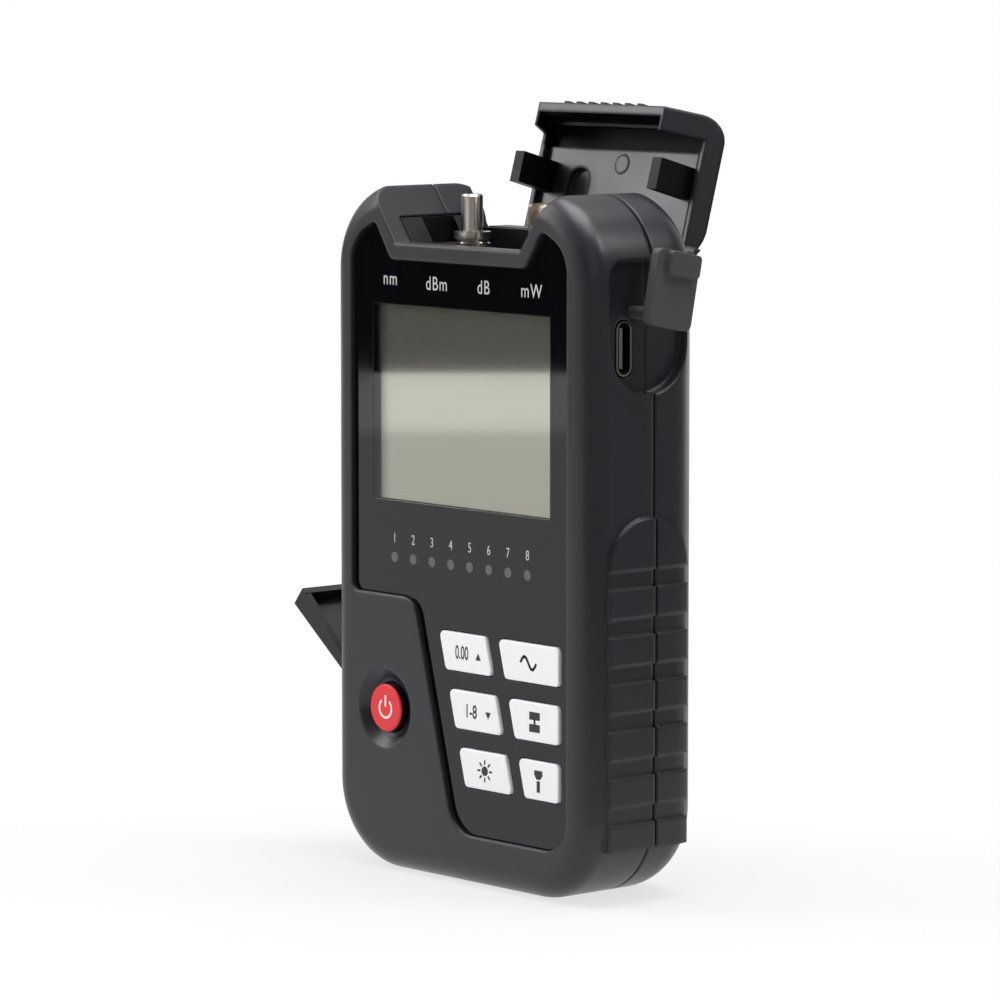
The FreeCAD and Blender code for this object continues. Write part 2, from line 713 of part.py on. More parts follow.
def cavity_form():
    """The hollow inside both shells, less the walls, bosses and beams that stand in it."""
    body = rounded_block("Cavity", dim.wall, wall_back, back - dim.wall, 1.5, dim.rear_round - dim.wall)
    skirt = dim.wall * 1.24
    pocket(body, "NotchWall", "Y", notch_corners(sill_z - dim.wall, -skirt), front, notch_back + dim.wall)
    low = slot_floor - dim.wall
    pocket(body, "HingeWall", "Y", hinge_corners(low, -dim.wall), notch_back - dim.wall, back)
    recess = rectangle(
        -dim.recess_half - dim.wall, dim.recess_half + dim.wall,
        dim.recess_bottom - dim.wall, dim.recess_top + dim.wall,
    )
    pocket(body, "RecessWall", "X", recess, side_seat - dim.wall, half_width)
    door = rectangle(
        -dim.door_half - dim.wall, dim.door_half + dim.wall,
        dim.door_bottom - dim.wall, dim.door_top + dim.wall,
    )
    pocket(body, "DoorWall", "X", door, -half_width, door_floor + dim.wall)
    for name, x, z in screw_places():
        pocket(body, name + "Boss", "Y", (x, z, dim.screw_boss), front, back)
    return body


def seam_tool():
    """A shallow groove round the outside, along the joint of the two shells."""
    low = dim.parting_y - dim.seam_width / 2
    high = dim.parting_y + dim.seam_width / 2
    core = new_body("SeamCore")
    inset = dim.seam_depth
    corners = rectangle(
        inset - half_width, half_width - inset, inset, top - inset, dim.corner_radius - inset
    )
    pad(core, "SeamCorePad", "Y", corners, low - 1, high + 1)
    slab = box("SeamSlab", (-half_width - 3, half_width + 3), (low, high), (-3, top + 3))
    return cut("Seam", slab, core)


def panel_corners():
    """The front panel in the front view, with the step round the power button's island."""
    edge_low = key_edge(dim.key_left, dim.panel_bottom) - dim.island_offset
    edge_high = key_edge(dim.key_left, dim.island_top) - dim.island_offset
    sill = sill_z - dim.panel_rim
    peak_half = notch_half(sill) + dim.panel_peak_out
    peak_z = sill + dim.panel_peak_up
    inner = notch_half(sill) + dim.panel_step_out
    right = dim.panel_half
    return [
        (right, dim.panel_bottom, dim.panel_corner),
        (right, peak_z - 3, 6),
        (peak_half, peak_z, 1.3),
        (inner, sill, 1.5),
        (-inner, sill, 1.5),
        (-peak_half, peak_z, 1.3),
        (-right, peak_z - 3, 6),
        (-right, dim.island_top, 1.5),
        (edge_high, dim.island_top, 4),
        (edge_low, dim.panel_bottom, 6),
    ]


def key_edge(first, z):
    """A key's slanted side: its place across at a height."""
    return first + dim.key_slant * (dim.key_top - z)


KEYS = [
    ("key_reference", 0, "left"),
    ("key_wavelength", 0, "right"),
    ("key_cable_test", 1, "left"),
    ("key_mode", 1, "right"),
    ("key_backlight", 2, "left"),
    ("key_torch", 2, "right"),
]


def key_corners(row, side):
    high = dim.key_top - dim.key_pitch * row
    low = high - dim.key_height
    if side == "left":
        return [
            (key_edge(dim.key_left, low), low, dim.key_corner),
            (key_edge(dim.key_middle, low) - dim.key_gap, low, dim.key_corner),
            (key_edge(dim.key_middle, high) - dim.key_gap, high, dim.key_corner),
            (key_edge(dim.key_left, high), high, dim.key_corner),
        ]
    return [
        (key_edge(dim.key_middle, low), low, dim.key_corner),
        (key_right, low, dim.key_corner),
        (key_right, high, dim.key_corner),
        (key_edge(dim.key_middle, high), high, dim.key_corner),
    ]


flange_front = wall_back + dim.flange_gap
flange_back = flange_front + dim.key_flange
mat_front = board_front - dim.mat_thick


def make_keys():
    """The six key caps; returns the holes that let them through the panel and the front wall."""
    holes = []
    for name, row, side in KEYS:
        title = name.title().replace("_", "")
        corners = key_corners(row, side)
        cap = outline_sketch(title + "CapOutline", corners)
        skirt = outline_sketch(title + "SkirtOutline", grown(corners, dim.key_skirt))
        hole = outline_sketch(title + "HoleOutline", grown(corners, dim.key_gap_round))
        pieces = [
            extrude(title + "Cap", cap, "Y", panel_front - dim.key_proud, flange_back),
            extrude(title + "Skirt", skirt, "Y", flange_front, flange_back),
        ]
        keep(name, fuse(title, *pieces))
        holes.append(extrude(title + "Hole", hole, "Y", front - 1, wall_back + 1))
    return holes


def make_power_button():
    """The round button in its dished well; returns the tools that cut the well and its hole."""
    cap_front = front + dim.power_sink
    cap = rod("PowerCap", "Y", dim.power_radius, power_x, cap_front, dim.power_z, flange_back - cap_front)
    flange = rod(
        "PowerFlange", "Y", dim.power_radius + dim.power_flange, power_x, flange_front, dim.power_z,
        dim.key_flange,
    )
    keep("power_button", fuse("PowerButton", cap, flange))
    hole = rod(
        "PowerHole", "Y", dim.power_radius + dim.key_gap_round, power_x, front - 1, dim.power_z,
        dim.front_wall + 2,
    )
    well = doc.addObject("Part::Cone", "PowerWell")
    well.Placement = FreeCAD.Placement(FreeCAD.Vector(), FreeCAD.Rotation(FreeCAD.Vector(1, 0, 0), -90))
    bind(well, "Radius1", dim.power_well)
    bind(well, "Radius2", dim.power_radius + 0.8)
    bind(well, "Height", dim.well_depth)
    bind(well, "Placement.Base.x", power_x)
    bind(well, "Placement.Base.y", front)
    bind(well, "Placement.Base.z", dim.power_z)
    return [hole, well]


def light_places():
    count = int(dim.light_count.value)
    for i in range(count):
        yield i, dim.light_pitch * (i - (count - 1) / 2)


def make_shells(key_holes, power_tools):
    """Both shells from one hollow form, parted at the joint plane, with the front wall's openings."""
    form = cut("HollowForm", housing_form(), cavity_form(), seam_tool())
    bores = []
    for name, x, z in screw_places():
        shank = rod(name + "Hole", "Y", dim.screw_radius + 0.05, x, wall_back + 2, z, dim.body_depth)
        head = rod(name + "Sink", "Y", dim.screw_head + 0.3, x, back - dim.screw_sink, z, dim.screw_sink + 1)
        bores += [shank, head]
    pin = rod(
        "HingePinBore", "X", dim.hinge_pin_radius + 0.01, -(dim.hinge_pin_length + 0.2) / 2, hinge_y, hinge_z,
        dim.hinge_pin_length + 0.2,
    )
    door_y = dim.door_half + 1.05
    door_bore = rod(
        "DoorPinBore", "Y", dim.door_pin_radius + 0.01, dim.door_axis_in - half_width, -door_y,
        dim.door_bottom + dim.door_axis_up, door_y * 2,
    )
    drilled = cut("DrilledForm", form, pin, door_bore, *bores)
    split = dim.parting_y
    far = dim.body_depth
    wide = dim.body_width
    front_side = box("FrontSide", (-wide, wide), (-far, split - dim.joint_gap / 2), (-9, top + 9))
    rear_side = box("RearSide", (-wide, wide), (split + dim.joint_gap / 2, far), (-9, top + 9))
    keep("rear_shell", common("RearShell", drilled, rear_side))

    seat = extrude("PanelSeat", outline_sketch("PanelSeatOutline", panel_corners()), "Y", front - 1, panel_back)
    window = box(
        "Window", (-dim.window_half, dim.window_half), (front, wall_back + 1), (dim.window_bottom, dim.window_top)
    )
    lights = [
        rod(f"LightHole{i}", "Y", dim.light_radius + 0.1, x, front, dim.light_z, dim.front_wall + 1)
        for i, x in light_places()
    ]
    blank = common("FrontBlank", drilled, front_side)
    keep("front_shell", cut("FrontShell", blank, seat, window, *power_tools, *lights, *key_holes))


def make_panel(key_holes):
    """The glossy panel in its seat, with a hole for each key."""
    edge = outline_sketch("PanelOutline", grown(panel_corners(), -dim.panel_gap))
    sheet_solid = extrude("PanelSheet", edge, "Y", panel_front, panel_back)
    keep("front_panel", cut("FrontPanel", sheet_solid, *key_holes))


def make_insides():
    """What the shells hold: display, lights, mat, board, battery, cable socket, optical modules."""
    display_front = wall_back + dim.flange_gap
    display = new_body("Display")
    edge = dim.display_edge
    pad(
        display, "DisplayGlass", "Y",
        rectangle(-dim.window_half - edge, dim.window_half + edge, dim.window_bottom - edge,
                  dim.window_top + edge, 1),
        display_front, board_front - dim.loose_gap,
    )
    keep("display_module", display)

    lamps = [
        rod(f"Light{i}", "Y", dim.light_radius, x, panel_back, dim.light_z, board_front - panel_back)
        for i, x in light_places()
    ]
    keep("indicator_lights", group("IndicatorLights", *lamps))

    mat = new_body("Mat")
    pad(
        mat, "MatSheet", "Y",
        rectangle(
            power_x - dim.power_radius - dim.mat_edge, key_right + dim.mat_edge,
            dim.key_top - dim.key_pitch * 2 - dim.key_height - dim.mat_edge, dim.key_top + dim.mat_edge, 2,
        ),
        mat_front, board_front,
    )
    keep("keypad_mat", mat)

    side = half_width - dim.board_side
    upper = side - dim.wall
    boss = dim.screw_boss + dim.boss_clear
    waist = screw_x - boss
    low = dim.screw_high - boss
    high = dim.screw_high + boss
    foot = dim.board_foot
    shoulder = dim.board_shoulder
    head = insert_bottom - dim.wall
    left = side - dim.socket_fit * 15
    inner = dim.socket_depth + door_floor + 0.5
    board = new_body("Board")
    socket_low = dim.socket_z - dim.socket_width / 2 - 1
    socket_high = dim.socket_z + dim.socket_width / 2 + 1
    pad(
        board, "BoardSheet", "Y",
        [
            (-waist, foot), (waist, foot), (waist, shoulder), (side, shoulder), (side, low), (waist, low),
            (waist, high), (upper, high), (upper, head), (-upper, head), (-upper, high), (-waist, high),
            (-waist, low), (-left, low), (-left, socket_high), (inner, socket_high), (inner, socket_low),
            (-left, socket_low), (-left, shoulder), (-waist, shoulder),
        ],
        board_front, board_back,
    )
    keep("main_board", board)

    battery = new_body("Battery")
    battery_front = board_back + dim.loose_gap
    pouch = rectangle(
        -dim.battery_width / 2, dim.battery_width / 2, dim.battery_foot, dim.battery_foot + dim.battery_height, 2
    )
    pad(battery, "BatteryPouch", "Y", pouch, battery_front, battery_front + dim.battery_thick)
    keep("battery", battery)

    socket = new_body("Socket")
    near = door_floor - dim.loose_gap
    deep = near + dim.socket_depth
    pad(
        socket, "SocketShell", "X",
        rectangle(-dim.socket_thick / 2, dim.socket_thick / 2, dim.socket_z - dim.socket_width / 2,
                  dim.socket_z + dim.socket_width / 2, 0.5),
        near, deep,
    )
    mouth_half = dim.socket_open_width / 2
    mouth_front = -dim.socket_open_thick / 2 - dim.socket_offset
    mouth_back = dim.socket_open_thick / 2 - dim.socket_offset
    channel_back = mouth_back + dim.socket_channel
    channel_low = dim.socket_z - dim.socket_latch / 2
    channel_high = dim.socket_z + dim.socket_latch / 2
    pocket(
        socket, "SocketMouth", "X",
        [
            (mouth_front, dim.socket_z - mouth_half), (mouth_back, dim.socket_z - mouth_half),
            (mouth_back, channel_low), (channel_back, channel_low),
            (channel_back, channel_high), (mouth_back, channel_high),
            (mouth_back, dim.socket_z + mouth_half), (mouth_front, dim.socket_z + mouth_half),
        ],
        near - 1, near + dim.socket_open_depth,
    )
    keep("cable_socket", socket)


def make_ports():
    """The black insert in the top notch, both ports on it and the modules below them."""
    insert = new_body("Insert")
    y_low = front + dim.insert_front + dim.insert_gap
    y_high = notch_back - dim.insert_gap * 2
    pad(insert, "InsertBlock", "Z", rectangle(-dim.insert_half, dim.insert_half, y_low, y_high),
        insert_bottom, insert_top)
    pocket(insert, "InsertWell", "Y", notch_corners(insert_floor, 0), y_low + dim.insert_wall,
           y_high - dim.insert_wall)
    pocket(insert, "InsertFront", "Y", notch_corners(sill_z - 0.3, 0), y_low - 1, y_low + dim.insert_wall)
    pocket(insert, "InsertBack", "Y", notch_corners(beam_z - 0.2, 0), y_high - dim.insert_wall, y_high + 1)
    clear = dim.latch_clearance
    slot_low = top - dim.cover_plate_drop - dim.latch_length - clear
    for side, sign in (("Right", 1), ("Left", -1)):
        ends = (dim.latch_centre - dim.latch_width / 2 - clear, dim.latch_centre + dim.latch_width / 2 + clear)
        low, high = ends if sign > 0 else (-ends[1], -ends[0])
        pocket(
            insert, side + "LatchSlot", "Z",
            rectangle(low, high, latch_front - clear, latch_front + dim.latch_depth + dim.latch_swing),
            slot_low, insert_top + 1,
        )
    pocket(insert, "LocatorHole", "Z", (-dim.port_centre, dim.port_y, dim.tube_radius + 0.25), insert_bottom - 1,
           insert_top)
    pocket(insert, "MeterHole", "Z", (dim.port_centre, dim.port_y, dim.meter_radius - 0.75), insert_bottom - 1,
           insert_top)
    keep("port_bulkhead", insert)

    foot = port_foot
    locator = new_body("Locator")
    tube = dim.tube_radius
    flange = dim.flange_radius
    bore = dim.ferrule_bore
    tube_top = top - dim.tube_top_drop
    revolve(
        locator, "LocatorTurned",
        [
            (0, foot), (tube + 0.2, foot), (tube + 0.2, insert_floor), (flange, insert_floor),
            (flange, insert_floor + 1.3), (flange - 0.5, insert_floor + 1.5), (flange - 0.5, insert_floor + 1.9),
            (flange, insert_floor + 2.1), (flange, insert_floor + 3.2), (tube, insert_floor + 3.2),
            (tube, tube_top - 0.3), (tube - 0.25, tube_top), (bore, tube_top), (bore, insert_floor - 2),
            (0, insert_floor - 2),
        ],
        -dim.port_centre, dim.port_y,
    )
    keep("fault_locator_port", locator)

    meter = new_body("Meter")
    barrel = dim.meter_radius
    meter_top = top - dim.meter_top_drop
    revolve(
        meter, "MeterTurned",
        [
            (0, foot), (barrel - 0.8, foot), (barrel - 0.8, insert_floor), (barrel + 0.6, insert_floor),
            (barrel + 0.6, insert_floor + 1.2), (barrel, insert_floor + 1.4), (barrel, meter_top - 0.4),
            (barrel - 0.4, meter_top), (barrel - 0.9, meter_top), (barrel - 0.9, insert_floor + 2.5),
            (dim.tube_radius, insert_floor + 2.5), (dim.tube_radius, meter_top - 0.8), (bore, meter_top - 0.8),
            (bore, insert_floor - 1), (0, insert_floor - 1),
        ],
        dim.port_centre, dim.port_y,
    )
    pocket(
        meter, "MeterKeyway", "Z",
        rectangle(dim.port_centre - 1.1, dim.port_centre + 1.1, dim.port_y - barrel - 1,
                  dim.port_y - dim.tube_radius - 0.4),
        meter_top - 3.5, meter_top + 1,
    )
    keep("power_meter_port", meter)

    laser_foot = foot - dim.loose_gap - dim.laser_length
    laser = rod("Laser", "Z", dim.laser_radius, -dim.port_centre, dim.port_y, laser_foot, dim.laser_length)
    keep("laser_module", laser)
    diode_foot = foot - dim.loose_gap - dim.diode_length
    diode = rod("Diode", "Z", dim.diode_radius, dim.port_centre, dim.port_y, diode_foot, dim.diode_length)
    keep("photodiode_module", diode)


latch_front = front + dim.cover_wall + dim.cover_hollow + dim.latch_set


def make_top_cover():
    """The flip-up cover: cut from the housing's own outer form, so that it closes flush."""
    form = rounded_block("CoverForm", as_size(0), front, back, dim.front_round, dim.rear_round)
    gap = dim.cover_gap
    side = gap * 1.24
    skin_low = hinge_z + dim.knuckle_radius + gap + 1.8
    notch = new_body("CoverNotch")
    pad(notch, "CoverNotchPad", "Y", notch_corners(sill_z + gap, side), front - 1, notch_back + gap * 3)
    hinge = new_body("CoverHinge")
    pad(hinge, "CoverHingePad", "Y", hinge_corners(skin_low, gap), notch_back + gap, back + 1)
    solid = common("CoverSolid", form, fuse("CoverOutline", notch, hinge))

    plate_z = top - dim.cover_plate_drop
    side_z = top - dim.cover_side_drop
    inset = side + dim.cover_side * 1.24
    lip_back = front + dim.cover_wall
    hollow = new_body("CoverHollow")
    pad(hollow, "CoverUnder", "Y", [
        (inset - notch_half(sill_z), sill_z - 1), (notch_half(sill_z) - inset, sill_z - 1),
        (notch_half(plate_z) - inset, plate_z), (inset - notch_half(plate_z), plate_z),
    ], lip_back, notch_back)
    pad(hollow, "CoverFrontHollow", "Y", [
        (inset - notch_half(sill_z), sill_z - 1), (notch_half(sill_z) - inset, sill_z - 1),
        (notch_half(top) - inset - 0.6, top - dim.cover_skin), (inset + 0.6 - notch_half(top), top - dim.cover_skin),
    ], lip_back + 0.6, lip_back + dim.cover_hollow)
    below = box(
        "CoverBelow", (-half_width, half_width), (lip_back + 2.4, notch_back + 2.2), (sill_z - 1, side_z)
    )
    rear = dim.hinge_beam_half + 0.2
    rear_hollow = box("CoverRearHollow", (-rear, rear), (notch_back - 0.5, hinge_y - 0.6), (sill_z, plate_z - 1.6))
    arch = rod("CoverArch", "Z", dim.tube_radius + 0.9, -dim.port_centre, dim.port_y, plate_z - 1, 2.0)
    arch_slot = box(
        "CoverArchSlot",
        (-dim.port_centre - dim.tube_radius - 0.9, dim.tube_radius + 0.9 - dim.port_centre),
        (dim.port_y, dim.port_y + 8), (plate_z - 1, plate_z + 1.0),
    )
    trimmed = cut("CoverShell", solid, hollow, below, rear_hollow, arch, arch_slot)

    pieces = [trimmed]
    for name, sign in (("RightArm", 1), ("LeftArm", -1)):
        ends = (dim.hinge_beam_half + gap, dim.hinge_slot_half - gap)
        low, high = ends if sign > 0 else (-ends[1], -ends[0])
        pieces.append(rod(name + "Knuckle", "X", dim.knuckle_radius, low, hinge_y, hinge_z, high - low))
        pieces.append(box(
            name + "Web", (low, high), (hinge_y - dim.knuckle_radius, hinge_y + 1), (hinge_z, plate_z - 0.8)
        ))
    count = int(dim.ridge_count.value)
    for i in range(count):
        x = dim.ridge_pitch * (i - (count - 1) / 2)
        pieces.append(box(
            f"Ridge{i}", (x - dim.ridge_width / 2, x + dim.ridge_width / 2),
            (front - dim.ridge_height, front + dim.cover_wall / 2), (sill_z + gap * 2, sill_z + gap * 2 + dim.ridge_length),
        ))
    whole = fuse("CoverWhole", *pieces)
    bore = rod(
        "CoverBore", "X", dim.hinge_pin_radius + dim.pin_clearance, -dim.hinge_pin_length, hinge_y, hinge_z,
        dim.hinge_pin_length * 2,
    )
    cover = cut("TopCover", whole, bore)
    keep("top_cover", cover)

    hooks = []
    for name, sign in (("Right", 1), ("Left", -1)):
        ends = (dim.latch_centre - dim.latch_width / 2, dim.latch_centre + dim.latch_width / 2)
        low, high = ends if sign > 0 else (-ends[1], -ends[0])
        hooks.append(box(
            name + "Hook", (low, high), (latch_front, latch_front + dim.latch_depth),
            (plate_z - dim.latch_length, plate_z),
        ))
    latches = group("CoverLatches", *hooks)
    keep("cover_latches", latches)
    for piece in (cover, latches):
        turn(piece, 0, hinge_y, hinge_z, (1, 0, 0), -dim.cover_open)

    pin = rod(
        "CoverPin", "X", dim.hinge_pin_radius, -dim.hinge_pin_length / 2, hinge_y, hinge_z, dim.hinge_pin_length
    )
    keep("cover_hinge_pin", pin)


def make_usb():
    """The USB socket behind its hole, and the rubber cover that swings on its tether."""
    socket = new_body("Usb")
    shell = rectangle(
        usb_y - dim.usb_width / 2, usb_y + dim.usb_width / 2,
        dim.usb_z - dim.usb_length / 2, dim.usb_z + dim.usb_length / 2, dim.usb_width * 0.48,
    )
    mouth = side_seat + 0.1
    pad(socket, "UsbShell", "X", shell, mouth - dim.usb_depth, mouth)
    skin = dim.usb_skin
    inner = rectangle(
        usb_y - dim.usb_width / 2 + skin, usb_y + dim.usb_width / 2 - skin,
        dim.usb_z - dim.usb_length / 2 + skin, dim.usb_z + dim.usb_length / 2 - skin, dim.usb_width * 0.38,
    )
    tail = mouth - dim.usb_depth + 1
    pocket(socket, "UsbMouth", "X", inner, tail, mouth + 1)
    tongue_half = dim.usb_length / 2 - skin * 4
    tongue = rectangle(
        usb_y - dim.usb_tongue / 2, usb_y + dim.usb_tongue / 2, dim.usb_z - tongue_half, dim.usb_z + tongue_half
    )
    pad(socket, "UsbTongue", "X", tongue, tail - skin, mouth - 0.8)
    keep("usb_socket", socket)

    cover = new_body("UsbCover")
    stand = half_width + dim.flap_stand
    offset_y = (dim.flap_y - dim.tether_y).value
    offset_z = (dim.flap_z - dim.tether_z).value
    lean = math.radians(dim.flap_lean.value)
    along = offset_z * math.cos(lean) + offset_y * math.sin(lean)
    aside = offset_y * math.cos(lean) - offset_z * math.sin(lean)
    centre_y = dim.tether_y + aside
    centre_z = dim.tether_z + along
    plate = rectangle(
        centre_y - dim.flap_width / 2, centre_y + dim.flap_width / 2,
        centre_z - dim.flap_height / 2, centre_z + dim.flap_height / 2, 1.2,
    )
    pad(cover, "UsbCoverPlate", "X", plate, stand, stand + dim.flap_thick)
    rib = rectangle(
        centre_y - dim.flap_width / 2 + 1.9, centre_y + dim.flap_width / 2 - 0.7,
        centre_z + dim.flap_height / 2 - dim.rib_height - 0.2, centre_z + dim.flap_height / 2 - 0.2, 0.7,
    )
    face = stand + dim.flap_thick
    pad(cover, "UsbCoverRib", "X", rib, face - 0.5, face + dim.rib_raise)
    tether = (dim.tether_y, dim.tether_z, dim.tether_radius)
    inner_face = side_seat - dim.wall
    pad(cover, "UsbCoverTether", "X", tether, inner_face - dim.flange_gap * 2, stand + 0.5)
    knob = (dim.tether_y, dim.tether_z, dim.tether_radius + dim.knob_lip)
    knob_face = inner_face - dim.flange_gap
    pad(cover, "UsbCoverKnob", "X", knob, knob_face - dim.knob_thick, knob_face)
    plug_y = dim.tether_y * 2 - usb_y
    plug_z = dim.tether_z * 2 - dim.usb_z
    plug = rectangle(
        plug_y - dim.usb_width / 2 + 0.5, plug_y + dim.usb_width / 2 - 0.5,
        plug_z - dim.usb_length / 2 + 0.6, plug_z + dim.usb_length / 2 - 0.6, 0.9,
    )
    pad(cover, "UsbCoverPlug", "X", plug, stand - dim.plug_depth, stand + 0.5)
    keep("usb_cover", cover)
    turn(cover, 0, dim.tether_y, dim.tether_z, (1, 0, 0), -dim.flap_lean)


def make_left_cover():
    """The hinged cover of the cable socket, a shallow tray with a lip at its free end."""
    axis_x = dim.door_axis_in - half_width
    axis_z = dim.door_bottom + dim.door_axis_up
    half = dim.door_half - dim.door_gap
    free_z = dim.door_top - dim.door_gap
    door = new_body("Door")
    plate = rectangle(-half, half, axis_z, free_z)
    pad(door, "DoorPlate", "X", plate, -half_width, dim.door_plate - half_width)
    for name, low, high in (("Front", -half, dim.door_wall - half), ("Back", half - dim.door_wall, half)):
        pad(
            door, "Door" + name, "Y",
            [
                (-half_width, axis_z + 2), (dim.door_plate - half_width, axis_z + 2),
                (dim.door_reach - half_width, free_z), (-half_width, free_z),
            ],
            low, high,
        )
    lip = rectangle(-half, half, free_z - dim.door_wall, free_z)
    pad(door, "DoorLip", "X", lip, -half_width, dim.door_reach - half_width)
    pad(door, "DoorKnuckle", "Y", (axis_x, axis_z, dim.door_axis_in), -half, half)
    pocket(door, "DoorBore", "Y", (axis_x, axis_z, dim.door_pin_radius + dim.pin_clearance), -half - 1, half + 1)
    keep("cable_socket_cover", door)
    turn(door, axis_x, 0, axis_z, (0, 1, 0), -dim.door_open)
    pin_half = dim.door_half + 1
    pin = rod("DoorPin", "Y", dim.door_pin_radius, axis_x, -pin_half, axis_z, pin_half * 2)
    keep("cable_cover_pin", pin)


def make_screws():
    """Four screws through the rear shell into the front shell's bosses."""
    screws = []
    seat = back - dim.screw_sink
    for name, x, z in screw_places():
        shank = rod(name + "Shank", "Y", dim.screw_radius, x, wall_back + 2.5, z, seat - wall_back - 2.0)
        head = rod(name + "Head", "Y", dim.screw_head, x, seat + 0.05, z, dim.screw_head_thick)
        screws.append(fuse(name + "Screw", shank, head))
    keep("housing_screws", group("HousingScrews", *screws))


key_tools = make_keys()
make_shells(key_tools, make_power_button())
make_panel(key_tools)
make_insides()
make_ports()
make_top_cover()
make_usb()
make_left_cover()
make_screws()
doc.recompute()

for item in doc.Objects:
    if "Invalid" in item.State or "Error" in item.State:
        raise RuntimeError(f"{item.Name} ({item.Label}) failed: {item.State}")
for part_name, item in PARTS.items():
    if item.Shape.isNull() or not item.Shape.isValid() or not item.Shape.Solids:
        raise RuntimeError(f"{part_name} has no valid solid")

os.makedirs("parts", exist_ok=True)
for part_name, item in PARTS.items():
    item.Shape.exportStep(f"parts/{part_name}.step")
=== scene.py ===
import math

import bmesh
import bpy
from mathutils import Matrix, Vector


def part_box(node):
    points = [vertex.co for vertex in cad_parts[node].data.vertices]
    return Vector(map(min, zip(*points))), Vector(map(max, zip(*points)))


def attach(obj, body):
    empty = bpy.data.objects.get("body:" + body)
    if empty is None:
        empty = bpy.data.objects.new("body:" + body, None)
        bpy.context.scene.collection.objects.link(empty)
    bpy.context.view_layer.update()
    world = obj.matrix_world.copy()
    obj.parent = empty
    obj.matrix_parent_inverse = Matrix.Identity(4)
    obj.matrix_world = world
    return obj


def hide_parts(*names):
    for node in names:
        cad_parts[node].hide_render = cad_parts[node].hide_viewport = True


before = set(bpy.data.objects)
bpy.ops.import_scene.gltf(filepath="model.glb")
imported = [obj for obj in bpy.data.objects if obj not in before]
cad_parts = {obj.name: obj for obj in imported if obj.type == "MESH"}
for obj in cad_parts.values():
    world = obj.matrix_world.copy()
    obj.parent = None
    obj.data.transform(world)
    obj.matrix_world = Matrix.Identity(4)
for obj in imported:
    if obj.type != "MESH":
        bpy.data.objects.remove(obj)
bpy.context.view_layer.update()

# ---------------------------------------------------------------------------
# Housing: two halves of moulded ABS, screwed together from the back. The mould
# is spark-eroded, so the skin has a very fine satin grain, and every edge
# comes out of the tool with a small radius.
# ---------------------------------------------------------------------------
MM = 0.001


def linear(red, green, blue):
    """A colour written as 0-255 screen values, as Blender's linear numbers."""
    channels = []
    for value in (red, green, blue):
        v = value / 255
        channels.append(v / 12.92 if v <= 0.04045 else ((v + 0.055) / 1.055) ** 2.4)
    return (*channels, 1.0)


def new_material(name):
    """A new material with its nodes and links."""
    material = bpy.data.materials.new(name)
    material.use_nodes = True
    return material, material.node_tree.nodes, material.node_tree.links


def clouds(nodes, links, vector, scale, detail):
    """The value of a noise pattern on a vector."""
    node = nodes.new("ShaderNodeTexNoise")
    node.inputs["Scale"].default_value = scale
    node.inputs["Detail"].default_value = detail
    links.new(vector, node.inputs["Vector"])
    return node.outputs["Fac"]


def ramp(nodes, links, value, spans, smooth=False):
    """A value carried over: spans are from low, from high, to low, to high."""
    node = nodes.new("ShaderNodeMapRange")
    if smooth:
        node.interpolation_type = "SMOOTHSTEP"
    for socket, number in zip(("From Min", "From Max", "To Min", "To Max"), spans):
        node.inputs[socket].default_value = number
    links.new(value, node.inputs["Value"])
    return node.outputs["Result"]


cloud_scale, gloss_spread, paler = 55, 0.05, 1.10


def moulded_plastic(name, colour, rough, grain_size, grain_height, edge=0.0):
    """Satin plastic: a fine grain, cloudy gloss and tint, and edges that catch the light."""
    material, nodes, links = new_material(name)
    shader = nodes["Principled BSDF"]
    coordinates = nodes.new("ShaderNodeTexCoord").outputs["Object"]
    bump = nodes.new("ShaderNodeBump")
    bump.inputs["Strength"].default_value = 1.0
    bump.inputs["Distance"].default_value = grain_height
    links.new(clouds(nodes, links, coordinates, 1 / grain_size, 3), bump.inputs["Height"])
    if edge:
        rounding = nodes.new("ShaderNodeBevel")
        rounding.samples = 6
        rounding.inputs["Radius"].default_value = edge
        links.new(rounding.outputs["Normal"], bump.inputs["Normal"])
    links.new(bump.outputs["Normal"], shader.inputs["Normal"])
    cloud = clouds(nodes, links, coordinates, cloud_scale, 4)
    gloss = ramp(nodes, links, cloud, (0.3, 0.7, rough - gloss_spread, rough + gloss_spread))
    links.new(gloss, shader.inputs["Roughness"])
    tint = nodes.new("ShaderNodeMix")
    tint.data_type = "RGBA"
    tint.inputs["A"].default_value = linear(*colour)
    tint.inputs["B"].default_value = linear(*[min(255, c * paler) for c in colour])
    links.new(cloud, tint.inputs["Factor"])
    links.new(tint.outputs["Result"], shader.inputs["Base Color"])
    shader.inputs["IOR"].default_value = 1.5
    return material


def place(name, mesh, material, body):
    """Puts a finished mesh in the scene, riding on a body."""
    piece = bpy.data.objects.new(name, mesh)
    bpy.context.collection.objects.link(piece)
    if material:
        mesh.materials.clear()
        mesh.materials.append(material)
    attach(piece, body)
    return piece


def frozen(piece):
    """The piece's mesh with its modifiers in it."""
    depsgraph = bpy.context.evaluated_depsgraph_get()
    return bpy.data.meshes.new_from_object(piece.evaluated_get(depsgraph))


weld = 0.002 * MM
flat_angle = math.radians(0.4)


